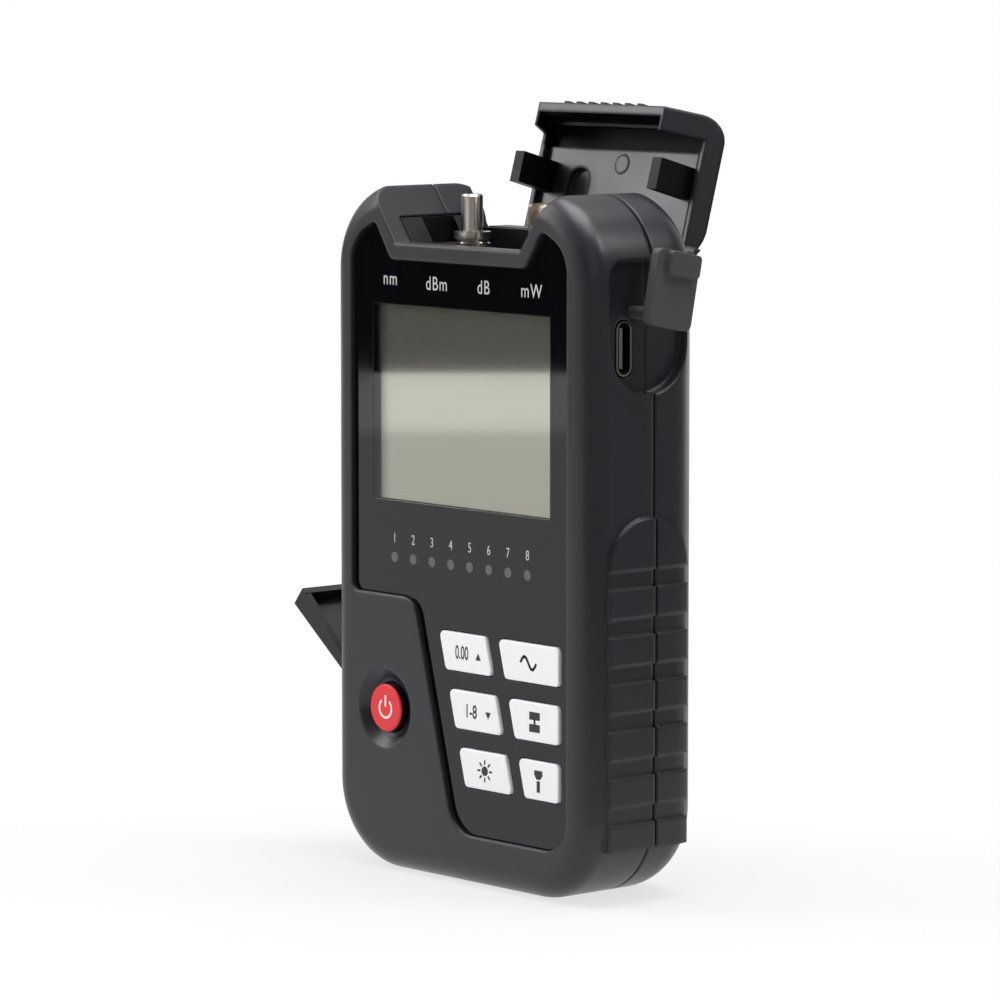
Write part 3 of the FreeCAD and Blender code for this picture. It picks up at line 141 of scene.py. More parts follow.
def clean_copy(node):
    """A copy of a moulded node's mesh as one closed skin of flat facets."""
    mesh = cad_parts[node].data.copy()
    for extra in [a.name for a in mesh.attributes if a.name in ("custom_normal", "sharp_edge", "sharp_face")]:
        mesh.attributes.remove(mesh.attributes[extra])
    skin = bmesh.new()
    skin.from_mesh(mesh)
    bmesh.ops.remove_doubles(skin, verts=skin.verts, dist=weld)
    bmesh.ops.dissolve_degenerate(skin, edges=skin.edges, dist=weld)
    bmesh.ops.dissolve_limit(
        skin, angle_limit=flat_angle, verts=skin.verts, edges=skin.edges, delimit={"NORMAL"}
    )
    skin.to_mesh(mesh)
    skin.free()
    return mesh


def softened(node, radius, material, body, steps=2, angle=32, shaped=None):
    """The node with its edges rounded as they leave the mould, in place of the plain one."""
    mesh = clean_copy(node)
    if shaped:
        shaped(mesh)
    holder = bpy.data.objects.new(node + "_work", mesh)
    bpy.context.collection.objects.link(holder)
    edges = holder.modifiers.new("MouldRadius", "BEVEL")
    edges.width = radius
    edges.segments = steps
    edges.limit_method = "ANGLE"
    edges.angle_limit = math.radians(angle)
    edges.use_clamp_overlap = True
    edges.harden_normals = True
    for polygon in mesh.polygons:
        polygon.use_smooth = True
    made = frozen(holder)
    bpy.data.objects.remove(holder)
    piece = place(node + "_moulded", made, material, body)
    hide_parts(node)
    return piece


back_round = 7.5 * MM
back_bend, bend_middle = 5.5 * MM, 6.9 * MM  # where the side rounds towards the back
side_middle = 25.0 * MM  # centre of that rounding
pad_foot, pad_head = 8 * MM, 64 * MM


def pads_follow_back(mesh):
    """The rear ends of the grip pads bend in with the housing's rounded back."""
    skin = bmesh.new()
    skin.from_mesh(mesh)
    half_width = side_middle + back_round
    for y in (back_bend, bend_middle):
        bmesh.ops.bisect_plane(
            skin, geom=list(skin.verts) + list(skin.edges) + list(skin.faces), dist=0.001 * MM,
            plane_co=(0, y, 0), plane_no=(0, 1, 0),
        )
    for v in skin.verts:
        x, y, z = v.co
        outside = abs(x) > half_width + 0.05 * MM and pad_foot < z < pad_head
        if outside and y > back_bend + 0.05 * MM:
            reach = abs(x) - side_middle
            v.co.x = math.copysign(side_middle + math.sqrt(reach * reach - (y - back_bend) ** 2), x)
    skin.to_mesh(mesh)
    skin.free()


housing_plastic = moulded_plastic("housing_plastic", (38, 38, 44), 0.33, 0.35 * MM, 0.008 * MM, edge=0.8 * MM)
for shell, shaped in (("front_shell", None), ("rear_shell", pads_follow_back)):
    half = softened(shell, 0.45 * MM, housing_plastic, "housing", steps=3, shaped=shaped)

# ---------------------------------------------------------------------------
# Front panel: a 1 mm acrylic sheet, printed black on its back and bonded into
# its seat. The print leaves a clear window over the display.
# ---------------------------------------------------------------------------
panel_low, panel_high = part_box("front_panel")
window_half, window_foot, window_head = 22.1 * MM, 62.4 * MM, 95.0 * MM
acrylic_ior = 1.49


def block(name, low, high):
    """A plain block as a cutting tool."""
    mesh = bpy.data.meshes.new(name)
    tool = bmesh.new()
    bmesh.ops.create_cube(tool, size=1.0)
    size = [h - l for l, h in zip(low, high)]
    middle = [(h + l) / 2 for l, h in zip(low, high)]
    seat = Matrix.Translation(middle) @ Matrix.Diagonal((*size, 1))
    bmesh.ops.transform(tool, matrix=seat, verts=tool.verts)
    tool.to_mesh(mesh)
    tool.free()
    piece = bpy.data.objects.new(name, mesh)
    bpy.context.collection.objects.link(piece)
    return piece


def gloss_black(name, colour, rough):
    """Polished sheet, a little hazier where it is smeared."""
    material, nodes, links = new_material(name)
    shader = nodes["Principled BSDF"]
    shader.inputs["Base Color"].default_value = linear(*colour)
    shader.inputs["IOR"].default_value = acrylic_ior
    coordinates = nodes.new("ShaderNodeTexCoord").outputs["Object"]
    smear = clouds(nodes, links, coordinates, 70, 5)
    haze = ramp(nodes, links, smear, (0.4, 0.75, rough, rough + 0.04))
    links.new(haze, shader.inputs["Roughness"])
    return material


panel_gloss = gloss_black("panel_gloss", (7, 7, 9), 0.02)
sheet = bpy.data.objects.new("panel_sheet_work", clean_copy("front_panel"))
bpy.context.collection.objects.link(sheet)
window_tool = block(
    "window_tool",
    (-window_half, panel_low.y - MM, window_foot),
    (window_half, panel_high.y + MM, window_head),
)
opening = sheet.modifiers.new("Window", "BOOLEAN")
opening.operation = "DIFFERENCE"
opening.solver = "EXACT"
opening.object = window_tool
polish = sheet.modifiers.new("CutEdge", "BEVEL")
polish.width = 0.12 * MM
polish.segments = 2
polish.limit_method = "ANGLE"
polish.angle_limit = math.radians(50)
polish.harden_normals = True
for polygon in sheet.data.polygons:
    polygon.use_smooth = True
sheet_mesh = frozen(sheet)
bpy.data.objects.remove(sheet)
bpy.data.objects.remove(window_tool)
panel_print = place("panel_print", sheet_mesh, panel_gloss, "housing")
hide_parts("front_panel")


def arithmetic(nodes, links, operation, first, second):
    """A sum on two values, each a number or a socket."""
    node = nodes.new("ShaderNodeMath")
    node.operation = operation
    for socket, value in zip(node.inputs, (first, second)):
        if isinstance(value, float):
            socket.default_value = value
        else:
            links.new(value, socket)
    return node.outputs["Value"]


window_clear, nodes, links = new_material("window_clear")
shader = nodes["Principled BSDF"]
shader.inputs["Base Color"].default_value = (0.0, 0.0, 0.0, 1.0)
shader.inputs["Roughness"].default_value = 0.02
clear = nodes.new("ShaderNodeBsdfTransparent")
clear.inputs["Color"].default_value = (0.97, 0.97, 0.965, 1.0)
gloss = nodes.new("ShaderNodeBsdfGlossy")
gloss.inputs["Roughness"].default_value = 0.02
gloss.inputs["Color"].default_value = (1, 1, 1, 1)
mirror = nodes.new("ShaderNodeFresnel")
mirror.inputs["IOR"].default_value = acrylic_ior
outside = nodes.new("ShaderNodeNewGeometry")
front_only = arithmetic(nodes, links, "SUBTRACT", 1.0, outside.outputs["Backfacing"])
share = arithmetic(nodes, links, "MULTIPLY", mirror.outputs["Fac"], front_only)
blend = nodes.new("ShaderNodeMixShader")
links.new(share, blend.inputs["Fac"])
links.new(clear.outputs["BSDF"], blend.inputs[1])
links.new(gloss.outputs["BSDF"], blend.inputs[2])
links.new(blend.outputs["Shader"], nodes["Material Output"].inputs["Surface"])
fit, window_thickness = 0.02 * MM, 0.2 * MM
window_block = block(
    "display_window",
    (fit - window_half, panel_low.y + fit, window_foot + fit),
    (window_half - fit, panel_low.y + window_thickness, window_head - fit),
)
window_mesh = window_block.data
bpy.data.objects.remove(window_block)
display_window = place("display_window", window_mesh, window_clear, "housing")

# ---------------------------------------------------------------------------
# Display: an unlit reflective LCD. Its olive-grey film fills the window right
# behind the sheet, with shade painted along its left edge, and its bezel lies deeper.
# ---------------------------------------------------------------------------
def plain(name, colour, rough, metallic=0.0):
    """A material of one colour and one gloss."""
    material, nodes, links = new_material(name)
    shader = nodes["Principled BSDF"]
    shader.inputs["Base Color"].default_value = linear(*colour)
    shader.inputs["Roughness"].default_value = rough
    shader.inputs["Metallic"].default_value = metallic
    return material


def dress(material, *nodes):
    """Puts a material on CAD nodes that show as they are."""
    for node in nodes:
        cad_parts[node].data.materials[0] = material


dress(plain("bezel_grey", (60, 60, 60), 0.45), "display_module")

# Painted shade: the film's colour darkens towards its left edge, where the window edge shades it.
shade_from, shade_to = -23.0 * MM, -18.4 * MM
lcd_film, nodes, links = new_material("lcd_film")
shader = nodes["Principled BSDF"]
shader.inputs["Metallic"].default_value = 0.76
shader.inputs["Roughness"].default_value = 0.04
coordinates = nodes.new("ShaderNodeTexCoord").outputs["Object"]
film_parts = nodes.new("ShaderNodeSeparateXYZ")
links.new(coordinates, film_parts.inputs["Vector"])
lit = ramp(nodes, links, film_parts.outputs["X"], (shade_from, shade_to, 0, 1), smooth=True)
film_painted_shade = nodes.new("ShaderNodeMix")
film_painted_shade.data_type = "RGBA"
film_painted_shade.inputs["A"].default_value = linear(60, 60, 56)
film_painted_shade.inputs["B"].default_value = linear(174, 175, 162)
links.new(lit, film_painted_shade.inputs["Factor"])
links.new(film_painted_shade.outputs["Result"], shader.inputs["Base Color"])
film_gap, film_front, film_back = 0.05 * MM, 0.15 * MM, 0.02 * MM
film = block(
    "lcd_film",
    (film_gap - window_half, panel_high.y - film_front, window_foot + film_gap),
    (window_half - film_gap, panel_high.y - film_back, window_head - film_gap),
)
film_mesh = film.data
bpy.data.objects.remove(film)
lcd = place("lcd_film", film_mesh, lcd_film, "housing")

# ---------------------------------------------------------------------------
# Indicator lights: eight round lenses showing through the sheet, each a dull
# smoky grey while unlit, with its printed number above it.
# ---------------------------------------------------------------------------
light_low, light_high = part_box("indicator_lights")
light_z = (light_low.z + light_high.z) / 2
light_count = 8
light_width = 1.3 * MM
light_pitch = (light_high.x - light_low.x - light_width) / (light_count - 1)

lens_smoke = plain("lens_smoke", (80, 78, 80), 0.12)
smoke_shader = lens_smoke.node_tree.nodes["Principled BSDF"]
smoke_shader.inputs["Coat Weight"].default_value = 0.6
smoke_shader.inputs["Coat Roughness"].default_value = 0.03
dress(lens_smoke, "indicator_lights")

lens_row = bpy.data.node_groups.new("lens_row", "GeometryNodeTree")
lens_row.interface.new_socket("Geometry", in_out="OUTPUT", socket_type="NodeSocketGeometry")
for name, kind, value in (
    ("Count", "NodeSocketInt", light_count),
    ("Pitch", "NodeSocketFloat", light_pitch),
    ("Radius", "NodeSocketFloat", 0.85 * MM),
    ("Thickness", "NodeSocketFloat", 0.03 * MM),
):
    lens_row.interface.new_socket(name, in_out="INPUT", socket_type=kind).default_value = value
lens_row.interface.new_socket("Material", in_out="INPUT", socket_type="NodeSocketMaterial")
row_in = lens_row.nodes.new("NodeGroupInput")
row_out = lens_row.nodes.new("NodeGroupOutput")
lens = lens_row.nodes.new("GeometryNodeMeshCylinder")
lens.inputs["Vertices"].default_value = 24
lens_row.links.new(row_in.outputs["Radius"], lens.inputs["Radius"])
lens_row.links.new(row_in.outputs["Thickness"], lens.inputs["Depth"])
lay = lens_row.nodes.new("GeometryNodeTransform")
lay.inputs["Rotation"].default_value = (math.pi / 2, 0, 0)
lens_row.links.new(lens.outputs["Mesh"], lay.inputs["Geometry"])
line = lens_row.nodes.new("GeometryNodeMeshLine")
lens_row.links.new(row_in.outputs["Count"], line.inputs["Count"])
step = lens_row.nodes.new("ShaderNodeCombineXYZ")
lens_row.links.new(row_in.outputs["Pitch"], step.inputs["X"])
lens_row.links.new(step.outputs["Vector"], line.inputs["Offset"])
spread = lens_row.nodes.new("GeometryNodeInstanceOnPoints")
lens_row.links.new(line.outputs["Mesh"], spread.inputs["Points"])
lens_row.links.new(lay.outputs["Geometry"], spread.inputs["Instance"])
real = lens_row.nodes.new("GeometryNodeRealizeInstances")
lens_row.links.new(spread.outputs["Instances"], real.inputs["Geometry"])
dye = lens_row.nodes.new("GeometryNodeSetMaterial")
lens_row.links.new(real.outputs["Geometry"], dye.inputs["Geometry"])
lens_row.links.new(row_in.outputs["Material"], dye.inputs["Material"])
lens_row.links.new(dye.outputs["Geometry"], row_out.inputs["Geometry"])


def grown_from(tree, values):
    """The plain mesh that a tree makes from these named inputs."""
    holder = bpy.data.objects.new(tree.name + "_work", bpy.data.meshes.new(tree.name))
    bpy.context.collection.objects.link(holder)
    modifier = holder.modifiers.new("Made", "NODES")
    modifier.node_group = tree
    for socket in tree.interface.items_tree:
        if socket.in_out == "INPUT" and socket.name in values:
            modifier[socket.identifier] = values[socket.name]
    mesh = frozen(holder)
    bpy.data.objects.remove(holder)
    return mesh


lens_mesh = grown_from(lens_row, {"Material": lens_smoke})
row_start, lens_face = -light_pitch * (light_count - 1) / 2, panel_low.y - 0.012 * MM
lens_mesh.transform(Matrix.Translation((row_start, lens_face, light_z)))
lenses = place("light_lenses", lens_mesh, None, "housing")

panel_face = panel_low.y - 0.01 * MM
number_rise, unit_pitch, unit_z = 3.25 * MM, 11.8 * MM, 99.0 * MM
white_ink = plain("white_ink", (200, 200, 200), 0.5)
capital_share = 0.71  # height of a capital in a text of size 1


def lettering(name, text, height, x, y, z, material, body, spacing=1.0, squeeze=1.0, bold=0.0):
    """Printed characters lying on a face that looks towards -Y, centred on a place."""
    words = bpy.data.curves.new(name, "FONT")
    words.body = text
    words.align_x = "CENTER"
    words.align_y = "CENTER"
    words.size = height / capital_share
    words.space_character = spacing
    words.offset = bold
    words.extrude = 0.008 * MM
    holder = bpy.data.objects.new(name + "_work", words)
    bpy.context.collection.objects.link(holder)
    mesh = frozen(holder)
    bpy.data.objects.remove(holder)
    xs = [v.co.x for v in mesh.vertices]
    ys = [v.co.y for v in mesh.vertices]
    mesh.transform(Matrix.Translation((-(min(xs) + max(xs)) / 2, -(min(ys) + max(ys)) / 2, 0)))
    mesh.transform(Matrix.Diagonal((squeeze, 1, 1, 1)))
    mesh.transform(Matrix.Translation((x, y, z)) @ Matrix.Rotation(math.pi / 2, 4, "X"))
    return place(name, mesh, material, body)


for i in range(light_count):
    number = lettering(
        f"light_number_{i + 1}", str(i + 1), 1.65 * MM, light_pitch * (i - (light_count - 1) / 2),
        panel_face, light_z + number_rise, white_ink, "housing", squeeze=0.8,
    )
for i, unit in enumerate(("nm", "dBm", "dB", "mW")):
    title = lettering(
        f"unit_print_{i + 1}", unit, 2.3 * MM, (i - 1.5) * unit_pitch,
        panel_face, unit_z, white_ink, "housing", spacing=1.15, squeeze=0.85,
    )

# ---------------------------------------------------------------------------
# Keys: white glossy caps, each moulded with its flange, with a dark printed
# sign. They stand half a millimetre out of the sheet and press straight in.
# ---------------------------------------------------------------------------
key_plastic = moulded_plastic("key_plastic", (246, 246, 250), 0.45, 0.5 * MM, 0.002 * MM)
key_ink = plain("key_ink", (38, 38, 42), 0.45)
print_lift, print_thickness = 0.006 * MM, 0.01 * MM
KEYS = ("key_reference", "key_wavelength", "key_cable_test", "key_mode", "key_backlight", "key_torch")
for key in KEYS:
    cap = softened(key, 0.28 * MM, key_plastic, key + "_body", steps=3, angle=60)


def key_middle(key):
    """The middle of a key's front face."""
    low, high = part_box(key)
    return (low.x + high.x) / 2, low.y, (low.z + high.z) / 2


def printed(flat, mesh):
    """Gives flat faces the thickness of ink and puts them in a mesh."""
    made = bmesh.ops.extrude_face_region(flat, geom=list(flat.faces))
    moved = [g for g in made["geom"] if isinstance(g, bmesh.types.BMVert)]
    bmesh.ops.translate(flat, vec=(0, print_thickness, 0), verts=moved)
    bmesh.ops.recalc_face_normals(flat, faces=flat.faces)
    flat.to_mesh(mesh)
    flat.free()


def sign(name, outlines, key):
    """A printed sign from closed outlines in millimetres about the key's middle."""
    x, y, z = key_middle(key)
    mesh = bpy.data.meshes.new(name)
    flat = bmesh.new()
    for outline in outlines:
        flat.faces.new([flat.verts.new((x + u * MM, y - print_lift, z + v * MM)) for u, v in outline])
    printed(flat, mesh)
    piece = place(name, mesh, key_ink, key + "_body")
    return piece


def disc(radius, count=24):
    """A round outline about the middle."""
    turns = [2 * math.pi * i / count for i in range(count)]
    return [(radius * math.cos(t), radius * math.sin(t)) for t in turns]


def bar(cx, cy, length, width, angle):
    """A short bar about a middle, turned by an angle."""
    c, s = math.cos(angle), math.sin(angle)
    a, b = length / 2, width / 2
    corners = [(-a, -b), (a, -b), (a, b), (-a, b)]
    return [(cx + u * c - v * s, cy + u * s + v * c) for u, v in corners]


def worded(name, text, key, squeeze):
    """A key's printed characters, a little left of its middle."""
    x, y, z = key_middle(key)
    mark = lettering(
        name, text, 2.2 * MM, x - 0.8 * MM, y - print_lift, z, key_ink, key + "_body",
        squeeze=squeeze, bold=0.05 * MM,
    )


worded("sign_set", "0.00", "key_reference", 0.62)
sign("sign_up", [[(2.6, -0.9), (4.0, -0.9), (3.3, 0.3)]], "key_reference")
wave_steps, wave_length = 24, 3.8
wave = [
    (-wave_length / 2 + wave_length * i / wave_steps, math.sin(2 * math.pi * i / wave_steps))
    for i in range(wave_steps + 1)
]
strokes = []
for (u1, v1), (u2, v2) in zip(wave, wave[1:]):
    reach = math.dist((u1, v1), (u2, v2)) + 0.12
    strokes.append(bar((u1 + u2) / 2, (v1 + v2) / 2, reach, 0.5, math.atan2(v2 - v1, u2 - u1)))
sign("sign_wave", strokes, "key_wavelength")
worded("sign_wires", "1-8", "key_cable_test", 0.75)
sign("sign_down", [[(2.6, 0.3), (3.3, -0.9), (4.0, 0.3)]], "key_cable_test")
sign(
    "sign_pages",
    [bar(0.3, 1.0, 2.6, 1.3, 0), bar(0.3, -1.0, 2.6, 1.3, 0), bar(0.3, 0, 0.5, 1.0, 0)],
    "key_mode",
)
ray_turns = [math.pi * i / 4 for i in range(8)]
rays = [bar(1.45 * math.cos(t), 1.45 * math.sin(t), 0.75, 0.35, t) for t in ray_turns]
sign("sign_sun", [disc(0.8)] + rays, "key_backlight")
sign(
    "sign_lamp",
    [
        [(-1.0, 1.7), (-1.0, 0.9), (-0.45, 0.2), (0.45, 0.2), (1.0, 0.9), (1.0, 1.7)],
        bar(0, -0.95, 0.8, 1.9, 0),
    ],
    "key_torch",
)

# ---------------------------------------------------------------------------
# Power button: a round red cap in a dished well, its side painted near-black as
# shade, with the usual white stand-by sign printed on it.
# ---------------------------------------------------------------------------
power_plastic = moulded_plastic("power_plastic", (222, 40, 48), 0.33, 0.5 * MM, 0.002 * MM)
power = softened("power_button", 0.3 * MM, power_plastic, "power_button_body", steps=3, angle=60)
power_low, power_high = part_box("power_button")
# Painted shade: the cap's side wall behind its face is coloured near-black where the well shades it.
power.data.materials.append(plain("power_side_painted_shade", (16, 16, 18), 0.5))
cap_depth = 0.4 * MM
for polygon in power.data.polygons:
    if polygon.center.y > power_low.y + cap_depth:
        polygon.material_index = 1
power_x, power_z = (power_low.x + power_high.x) / 2, (power_low.z + power_high.z) / 2
ring_inner, ring_outer, ring_drop, gap_half, arc_steps = 1.35, 1.75, 0.1, 38, 40
arc_sweep = 360 - 2 * gap_half
arc = [math.radians(90 + gap_half + arc_sweep * i / arc_steps) for i in range(arc_steps + 1)]
ring_mesh = bpy.data.meshes.new("standby_sign")
ring = bmesh.new()


def on_button(u, v):
    """A new corner on the button's face, in millimetres from its middle."""
    return ring.verts.new((power_x + u * MM, power_low.y - print_lift, power_z + v * MM))


inner, outer = [
    [on_button(radius * math.cos(t), radius * math.sin(t) - ring_drop) for t in arc]
    for radius in (ring_inner, ring_outer)
]
for i in range(arc_steps):
    ring.faces.new((inner[i], inner[i + 1], outer[i + 1], outer[i]))
ring.faces.new([on_button(u, v) for u, v in bar(0, 1.15, 0.42, 1.9, 0)])
bmesh.ops.recalc_face_normals(ring, faces=ring.faces)
printed(ring, ring_mesh)
button_ink = plain("button_ink", (240, 238, 238), 0.5)
standby = place("standby_sign", ring_mesh, button_ink, "power_button_body")

# ---------------------------------------------------------------------------
# Port insert and its two ports: a matt black moulding in the top notch, with
# the fault locator's nickel tube on the left and the meter's barrel on the right.
# ---------------------------------------------------------------------------
insert_plastic = moulded_plastic("insert_plastic", (13, 13, 15), 0.5, 0.35 * MM, 0.01 * MM)
insert_plastic.node_tree.nodes["Principled BSDF"].inputs["Specular IOR Level"].default_value = 0.25
dress(insert_plastic, "port_bulkhead", "cover_latches")

nickel, nodes, links = new_material("turned_nickel")
shader = nodes["Principled BSDF"]
shader.inputs["Base Color"].default_value = linear(240, 233, 222)
shader.inputs["Metallic"].default_value = 1.0
stretch = nodes.new("ShaderNodeMapping")
stretch.inputs["Scale"].default_value = (60, 60, 6000)
links.new(nodes.new("ShaderNodeTexCoord").outputs["Object"], stretch.inputs["Vector"])
turning = clouds(nodes, links, stretch.outputs["Vector"], 1.0, 3)
lines = nodes.new("ShaderNodeBump")
lines.inputs["Distance"].default_value = 0.004 * MM
links.new(turning, lines.inputs["Height"])
links.new(lines.outputs["Normal"], shader.inputs["Normal"])
links.new(ramp(nodes, links, turning, (0, 1, 0.14, 0.3)), shader.inputs["Roughness"])
dress(nickel, "fault_locator_port", "power_meter_port")

# ---------------------------------------------------------------------------
# Flip-up top cover: the same plastic as the housing, standing open. Its inner
# plate faces forwards, with a round ejector mark on it, below a pocket painted near-black as shade.
# ---------------------------------------------------------------------------
cover_half_width = 22.9 * MM
hinge_y, hinge_z, open_angle = 11.4 * MM, 104.65 * MM, math.radians(-105.6)
opened = (
    Matrix.Translation((0, hinge_y, hinge_z)) @ Matrix.Rotation(open_angle, 4, "X")
    @ Matrix.Translation((0, -hinge_y, -hinge_z))
)
closed = opened.inverted()


def without_fins(mesh):
    """The thin fins at the cover's rear corners, trimmed flush with its sides."""
    skin = bmesh.new()
    skin.from_mesh(mesh)
    for side in (-1, 1):
        bmesh.ops.bisect_plane(
            skin, geom=list(skin.verts) + list(skin.edges) + list(skin.faces), dist=0.001 * MM,
            plane_co=(side * cover_half_width, 0, 0), plane_no=(side, 0, 0), clear_outer=True,
        )
        bmesh.ops.holes_fill(skin, edges=[e for e in skin.edges if e.is_boundary], sides=0)
    bmesh.ops.recalc_face_normals(skin, faces=skin.faces)
    skin.to_mesh(mesh)
    skin.free()


lid = softened("top_cover", 0.35 * MM, housing_plastic, "top_cover_body", steps=3, shaped=without_fins)

# The pocket's faces, found by their place and direction with the cover closed, are painted near-black as
# shade.
pocket_half, plate_z = 20 * MM, 113.0 * MM
pocket_y, pocket_z = (-12.6 * MM, -7.0 * MM), (108 * MM, 114.85 * MM)
# Painted shade: a near-black colour on the pocket's faces, where the hollow lies in shadow.
pocket_painted_shade = plain("cover_pocket_painted_shade", (12, 12, 14), 0.5)
pocket_painted_shade.node_tree.nodes["Principled BSDF"].inputs["Specular IOR Level"].default_value = 0.08
lid.data.materials.append(pocket_painted_shade)
for polygon in lid.data.polygons:
    x, y, z = closed @ polygon.center
    facing = closed.to_3x3() @ polygon.normal
    inside = abs(x) < pocket_half and pocket_y[0] < y < pocket_y[1] and pocket_z[0] < z < pocket_z[1]
    on_plate = z < plate_z and facing.z < -0.9
    if inside and (facing.z < -0.2 or facing.y > 0.5) and not on_plate:
        polygon.material_index = 1

mark_radius, mark_height, mark_y, mark_z = 1.8 * MM, 0.16 * MM, -4.5 * MM, 112.84 * MM
mark_mesh = bpy.data.meshes.new("ejector_mark")
mark = bmesh.new()
bmesh.ops.create_cone(
    mark, cap_ends=True, segments=40, radius1=mark_radius - 0.15 * MM, radius2=mark_radius, depth=mark_height
)
bmesh.ops.transform(mark, matrix=opened @ Matrix.Translation((0, mark_y, mark_z)), verts=mark.verts)
mark.to_mesh(mark_mesh)
mark.free()
ejector_mark = place("ejector_mark", mark_mesh, housing_plastic, "top_cover_body")

# ---------------------------------------------------------------------------
# USB socket and its rubber cover: a bright steel shell in a round-ended recess,
# and a soft moulded flap on a tether.
# ---------------------------------------------------------------------------
dress(plain("usb_steel", (176, 174, 170), 0.28, metallic=1.0), "usb_socket")
cover_rubber = moulded_plastic("cover_rubber", (68, 68, 72), 0.6, 0.25 * MM, 0.01 * MM, edge=0.4 * MM)
flap = softened("usb_cover", 0.2 * MM, cover_rubber, "usb_cover_body", steps=3, angle=50)

# ---------------------------------------------------------------------------
# Left cover over the cable socket, a darker moulding, with the socket inside
# and the steel of both covers' pins and of the housing's screws.
# ---------------------------------------------------------------------------
cable_flap = moulded_plastic("cable_flap_plastic", (20, 20, 23), 0.45, 0.35 * MM, 0.008 * MM)
dress(cable_flap, "cable_socket_cover")
dress(insert_plastic, "cable_socket")
pin_steel = plain("pin_steel", (150, 148, 146), 0.3, metallic=1.0)
dress(pin_steel, "cover_hinge_pin", "cable_cover_pin", "housing_screws")

# ---------------------------------------------------------------------------
# What the housing hides: mat, board, battery and the two optical modules, each
# with its colour, its gloss and its share of metal.
# ---------------------------------------------------------------------------
hidden = {
    "keypad_mat": ((40, 40, 42), 0.7, 0.0),
    "main_board": ((24, 84, 48), 0.4, 0.0),
    "battery": ((168, 170, 174), 0.35, 0.6),
    "laser_module": ((176, 140, 70), 0.3, 1.0),
    "photodiode_module": ((150, 150, 152), 0.3, 1.0),
}
for node, (colour, rough, metal) in hidden.items():
    stuff = moulded_plastic(node + "_finish", colour, rough, 0.4 * MM, 0.005 * MM)
    stuff.node_tree.nodes["Principled BSDF"].inputs["Metallic"].default_value = metal
    dress(stuff, node)

# ---------------------------------------------------------------------------
# Studio: a white sweep that fades to pure white away from the part, soft lamps,
# and a low dark flag in front on the left, which the sheet and display mirror.
# ---------------------------------------------------------------------------
floor_mesh = bpy.data.meshes.new("studio_floor")
floor_shape = bmesh.new()
bmesh.ops.create_grid(floor_shape, x_segments=1, y_segments=1, size=20)
floor_shape.to_mesh(floor_mesh)
floor_shape.free()
floor = bpy.data.objects.new("studio_floor", floor_mesh)
bpy.context.collection.objects.link(floor)
floor_white, nodes, links = new_material("floor_white")
nodes.clear()
target = nodes.new("ShaderNodeOutputMaterial")
paper = nodes.new("ShaderNodeBsdfDiffuse")
paper.inputs["Color"].default_value = (0.62, 0.62, 0.62, 1)
glow = nodes.new("ShaderNodeEmission")
glow.inputs["Color"].default_value = (1, 1, 1, 1)
ray = nodes.new("ShaderNodeLightPath").outputs
coordinates = nodes.new("ShaderNodeTexCoord").outputs["Object"]
distance = nodes.new("ShaderNodeVectorMath")
distance.operation = "LENGTH"
links.new(coordinates, distance.inputs[0])
away = ramp(nodes, links, distance.outputs["Value"], (0.04, 0.22, 0.72, 1.0), smooth=True)
seen = arithmetic(nodes, links, "MULTIPLY", ray["Is Camera Ray"], away)
mirrored = arithmetic(nodes, links, "MAXIMUM", ray["Is Glossy Ray"], ray["Is Transmission Ray"])
share = arithmetic(nodes, links, "MAXIMUM", seen, mirrored)
mixed = nodes.new("ShaderNodeMixShader")
links.new(share, mixed.inputs["Fac"])
links.new(paper.outputs["BSDF"], mixed.inputs[1])
links.new(glow.outputs["Emission"], mixed.inputs[2])
links.new(mixed.outputs["Shader"], target.inputs["Surface"])
# In reflections the floor is brighter far off and darker to the right.
far_band = ramp(nodes, links, distance.outputs["Value"], (0.77, 0.83, 0.9, 1.45), smooth=True)
floor_parts = nodes.new("ShaderNodeSeparateXYZ")
links.new(coordinates, floor_parts.inputs["Vector"])
right_side = ramp(nodes, links, floor_parts.outputs["X"], (0.05, 0.2, 1.0, 0.2), smooth=True)
strength = nodes.new("ShaderNodeMix")
strength.inputs["A"].default_value = 1.0
links.new(ray["Is Glossy Ray"], strength.inputs["Factor"])
links.new(arithmetic(nodes, links, "MULTIPLY", far_band, right_side), strength.inputs["B"])
links.new(strength.outputs["Result"], glow.inputs["Strength"])
floor_mesh.materials.append(floor_white)

flag_distance, flag_width, flag_height = 1.02, 3.0, 0.2
flag_direction = Vector((-0.754, -0.657, 0))
flag_side = Vector((0.657, -0.754, 0)) * flag_width / 2
flag_mesh = bpy.data.meshes.new("dark_flag")
foot = flag_direction * flag_distance
flag_top = Vector((0, 0, flag_height))
flag_mesh.from_pydata(
    [foot - flag_side, foot + flag_side, foot + flag_side + flag_top, foot - flag_side + flag_top],
    [], [(0, 1, 2, 3)],
)
dark_flag = bpy.data.objects.new("dark_flag", flag_mesh)
bpy.context.collection.objects.link(dark_flag)
flag_black, nodes, links = new_material("flag_black")
nodes.clear()
target = nodes.new("ShaderNodeOutputMaterial")
dark = nodes.new("ShaderNodeEmission")
dark.inputs["Color"].default_value = (0.02, 0.02, 0.022, 1)
links.new(dark.outputs["Emission"], target.inputs["Surface"])
flag_mesh.materials.append(flag_black)
dark_flag.visible_camera = False
dark_flag.visible_diffuse = False
dark_flag.visible_shadow = False
dark_flag.visible_transmission = True

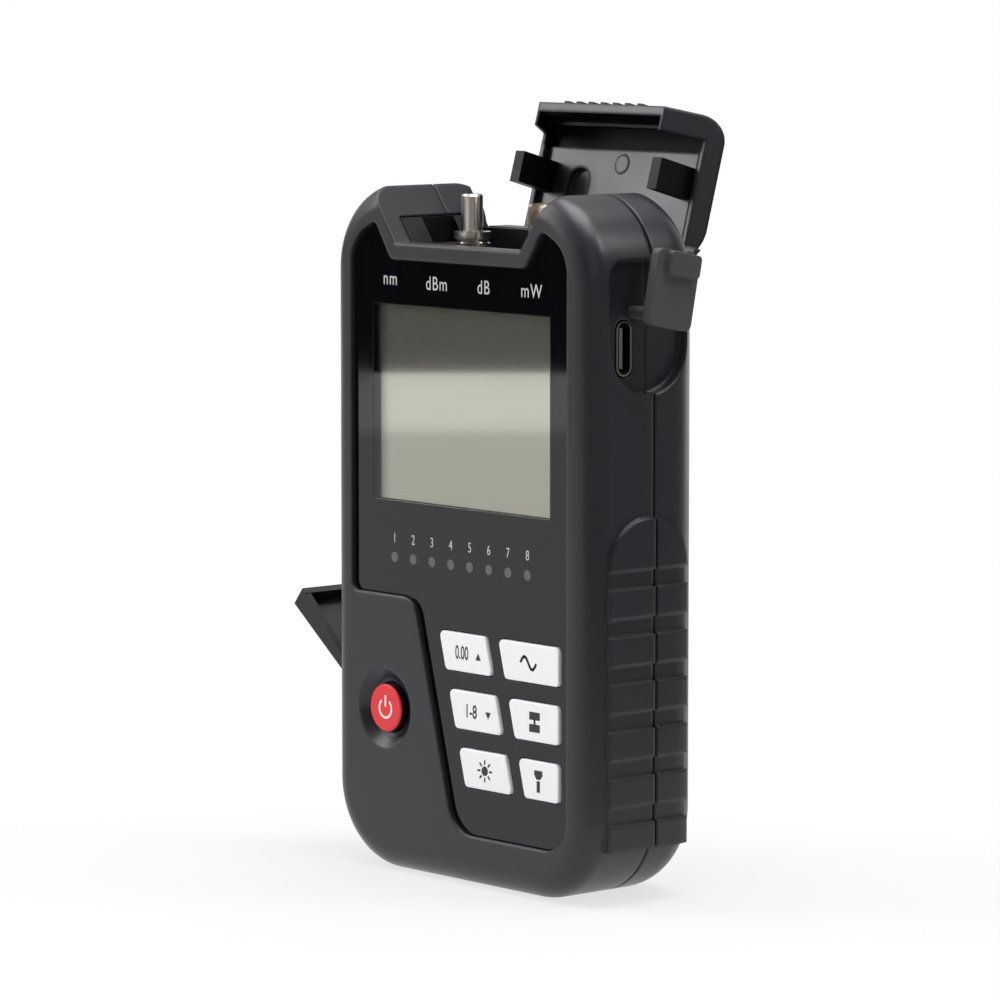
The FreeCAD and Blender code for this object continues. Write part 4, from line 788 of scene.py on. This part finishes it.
world = bpy.data.worlds.new("studio_world")
bpy.context.scene.world = world
world.use_nodes = True
nodes, links = world.node_tree.nodes, world.node_tree.links
nodes.clear()
target = nodes.new("ShaderNodeOutputWorld")
ray = nodes.new("ShaderNodeLightPath").outputs
direction = nodes.new("ShaderNodeTexCoord")
parts = nodes.new("ShaderNodeSeparateXYZ")
links.new(direction.outputs["Generated"], parts.inputs["Vector"])
sides = ramp(nodes, links, parts.outputs["X"], (0.35, -0.35, 0.08, 1.0), smooth=True)
room = nodes.new("ShaderNodeBackground")
links.new(sides, room.inputs["Color"])
room.inputs["Strength"].default_value = 0.6
white = nodes.new("ShaderNodeBackground")
white.inputs["Color"].default_value = (1, 1, 1, 1)
white.inputs["Strength"].default_value = 1.0
mixed = nodes.new("ShaderNodeMixShader")
links.new(ray["Is Camera Ray"], mixed.inputs["Fac"])
links.new(room.outputs["Background"], mixed.inputs[1])
links.new(white.outputs["Background"], mixed.inputs[2])
links.new(mixed.outputs["Shader"], target.inputs["Surface"])


def softbox(name, position, aim, size, power):
    """A square soft lamp that looks at a place."""
    lamp = bpy.data.lights.new(name, "AREA")
    lamp.shape = "SQUARE"
    lamp.size = size
    lamp.energy = power
    holder = bpy.data.objects.new(name, lamp)
    holder.location = position
    holder.rotation_euler = (Vector(aim) - Vector(position)).to_track_quat("-Z", "Y").to_euler()
    bpy.context.collection.objects.link(holder)


softbox("key_lamp", (-0.75, -0.55, 0.85), (0, 0, 0.06), 0.7, 5.4)
softbox("low_lamp", (-0.95, -0.85, 0.5), (0, 0, 0.08), 0.45, 3.3)
softbox("top_lamp", (0.1, 0.1, 1.1), (0, 0, 0.06), 0.8, 13.0)
softbox("fill_lamp", (0.9, -0.5, 0.5), (0, 0, 0.06), 0.6, 0.5)
softbox("edge_lamp", (0.7, 0.55, 0.85), (0, 0, 0.06), 0.3, 3.0)

camera = bpy.data.cameras.new("camera")
camera.lens = 184.8
camera.sensor_width = 36.0
camera.clip_start = 0.01
camera_object = bpy.data.objects.new("camera", camera)
camera_object.location = (0.63449, -0.55702, 0.15465)
camera_object.rotation_euler = (math.radians(83.8), 0, math.radians(48.9))
bpy.context.collection.objects.link(camera_object)
bpy.context.scene.camera = camera_object
bpy.context.scene.view_settings.view_transform = "Standard"
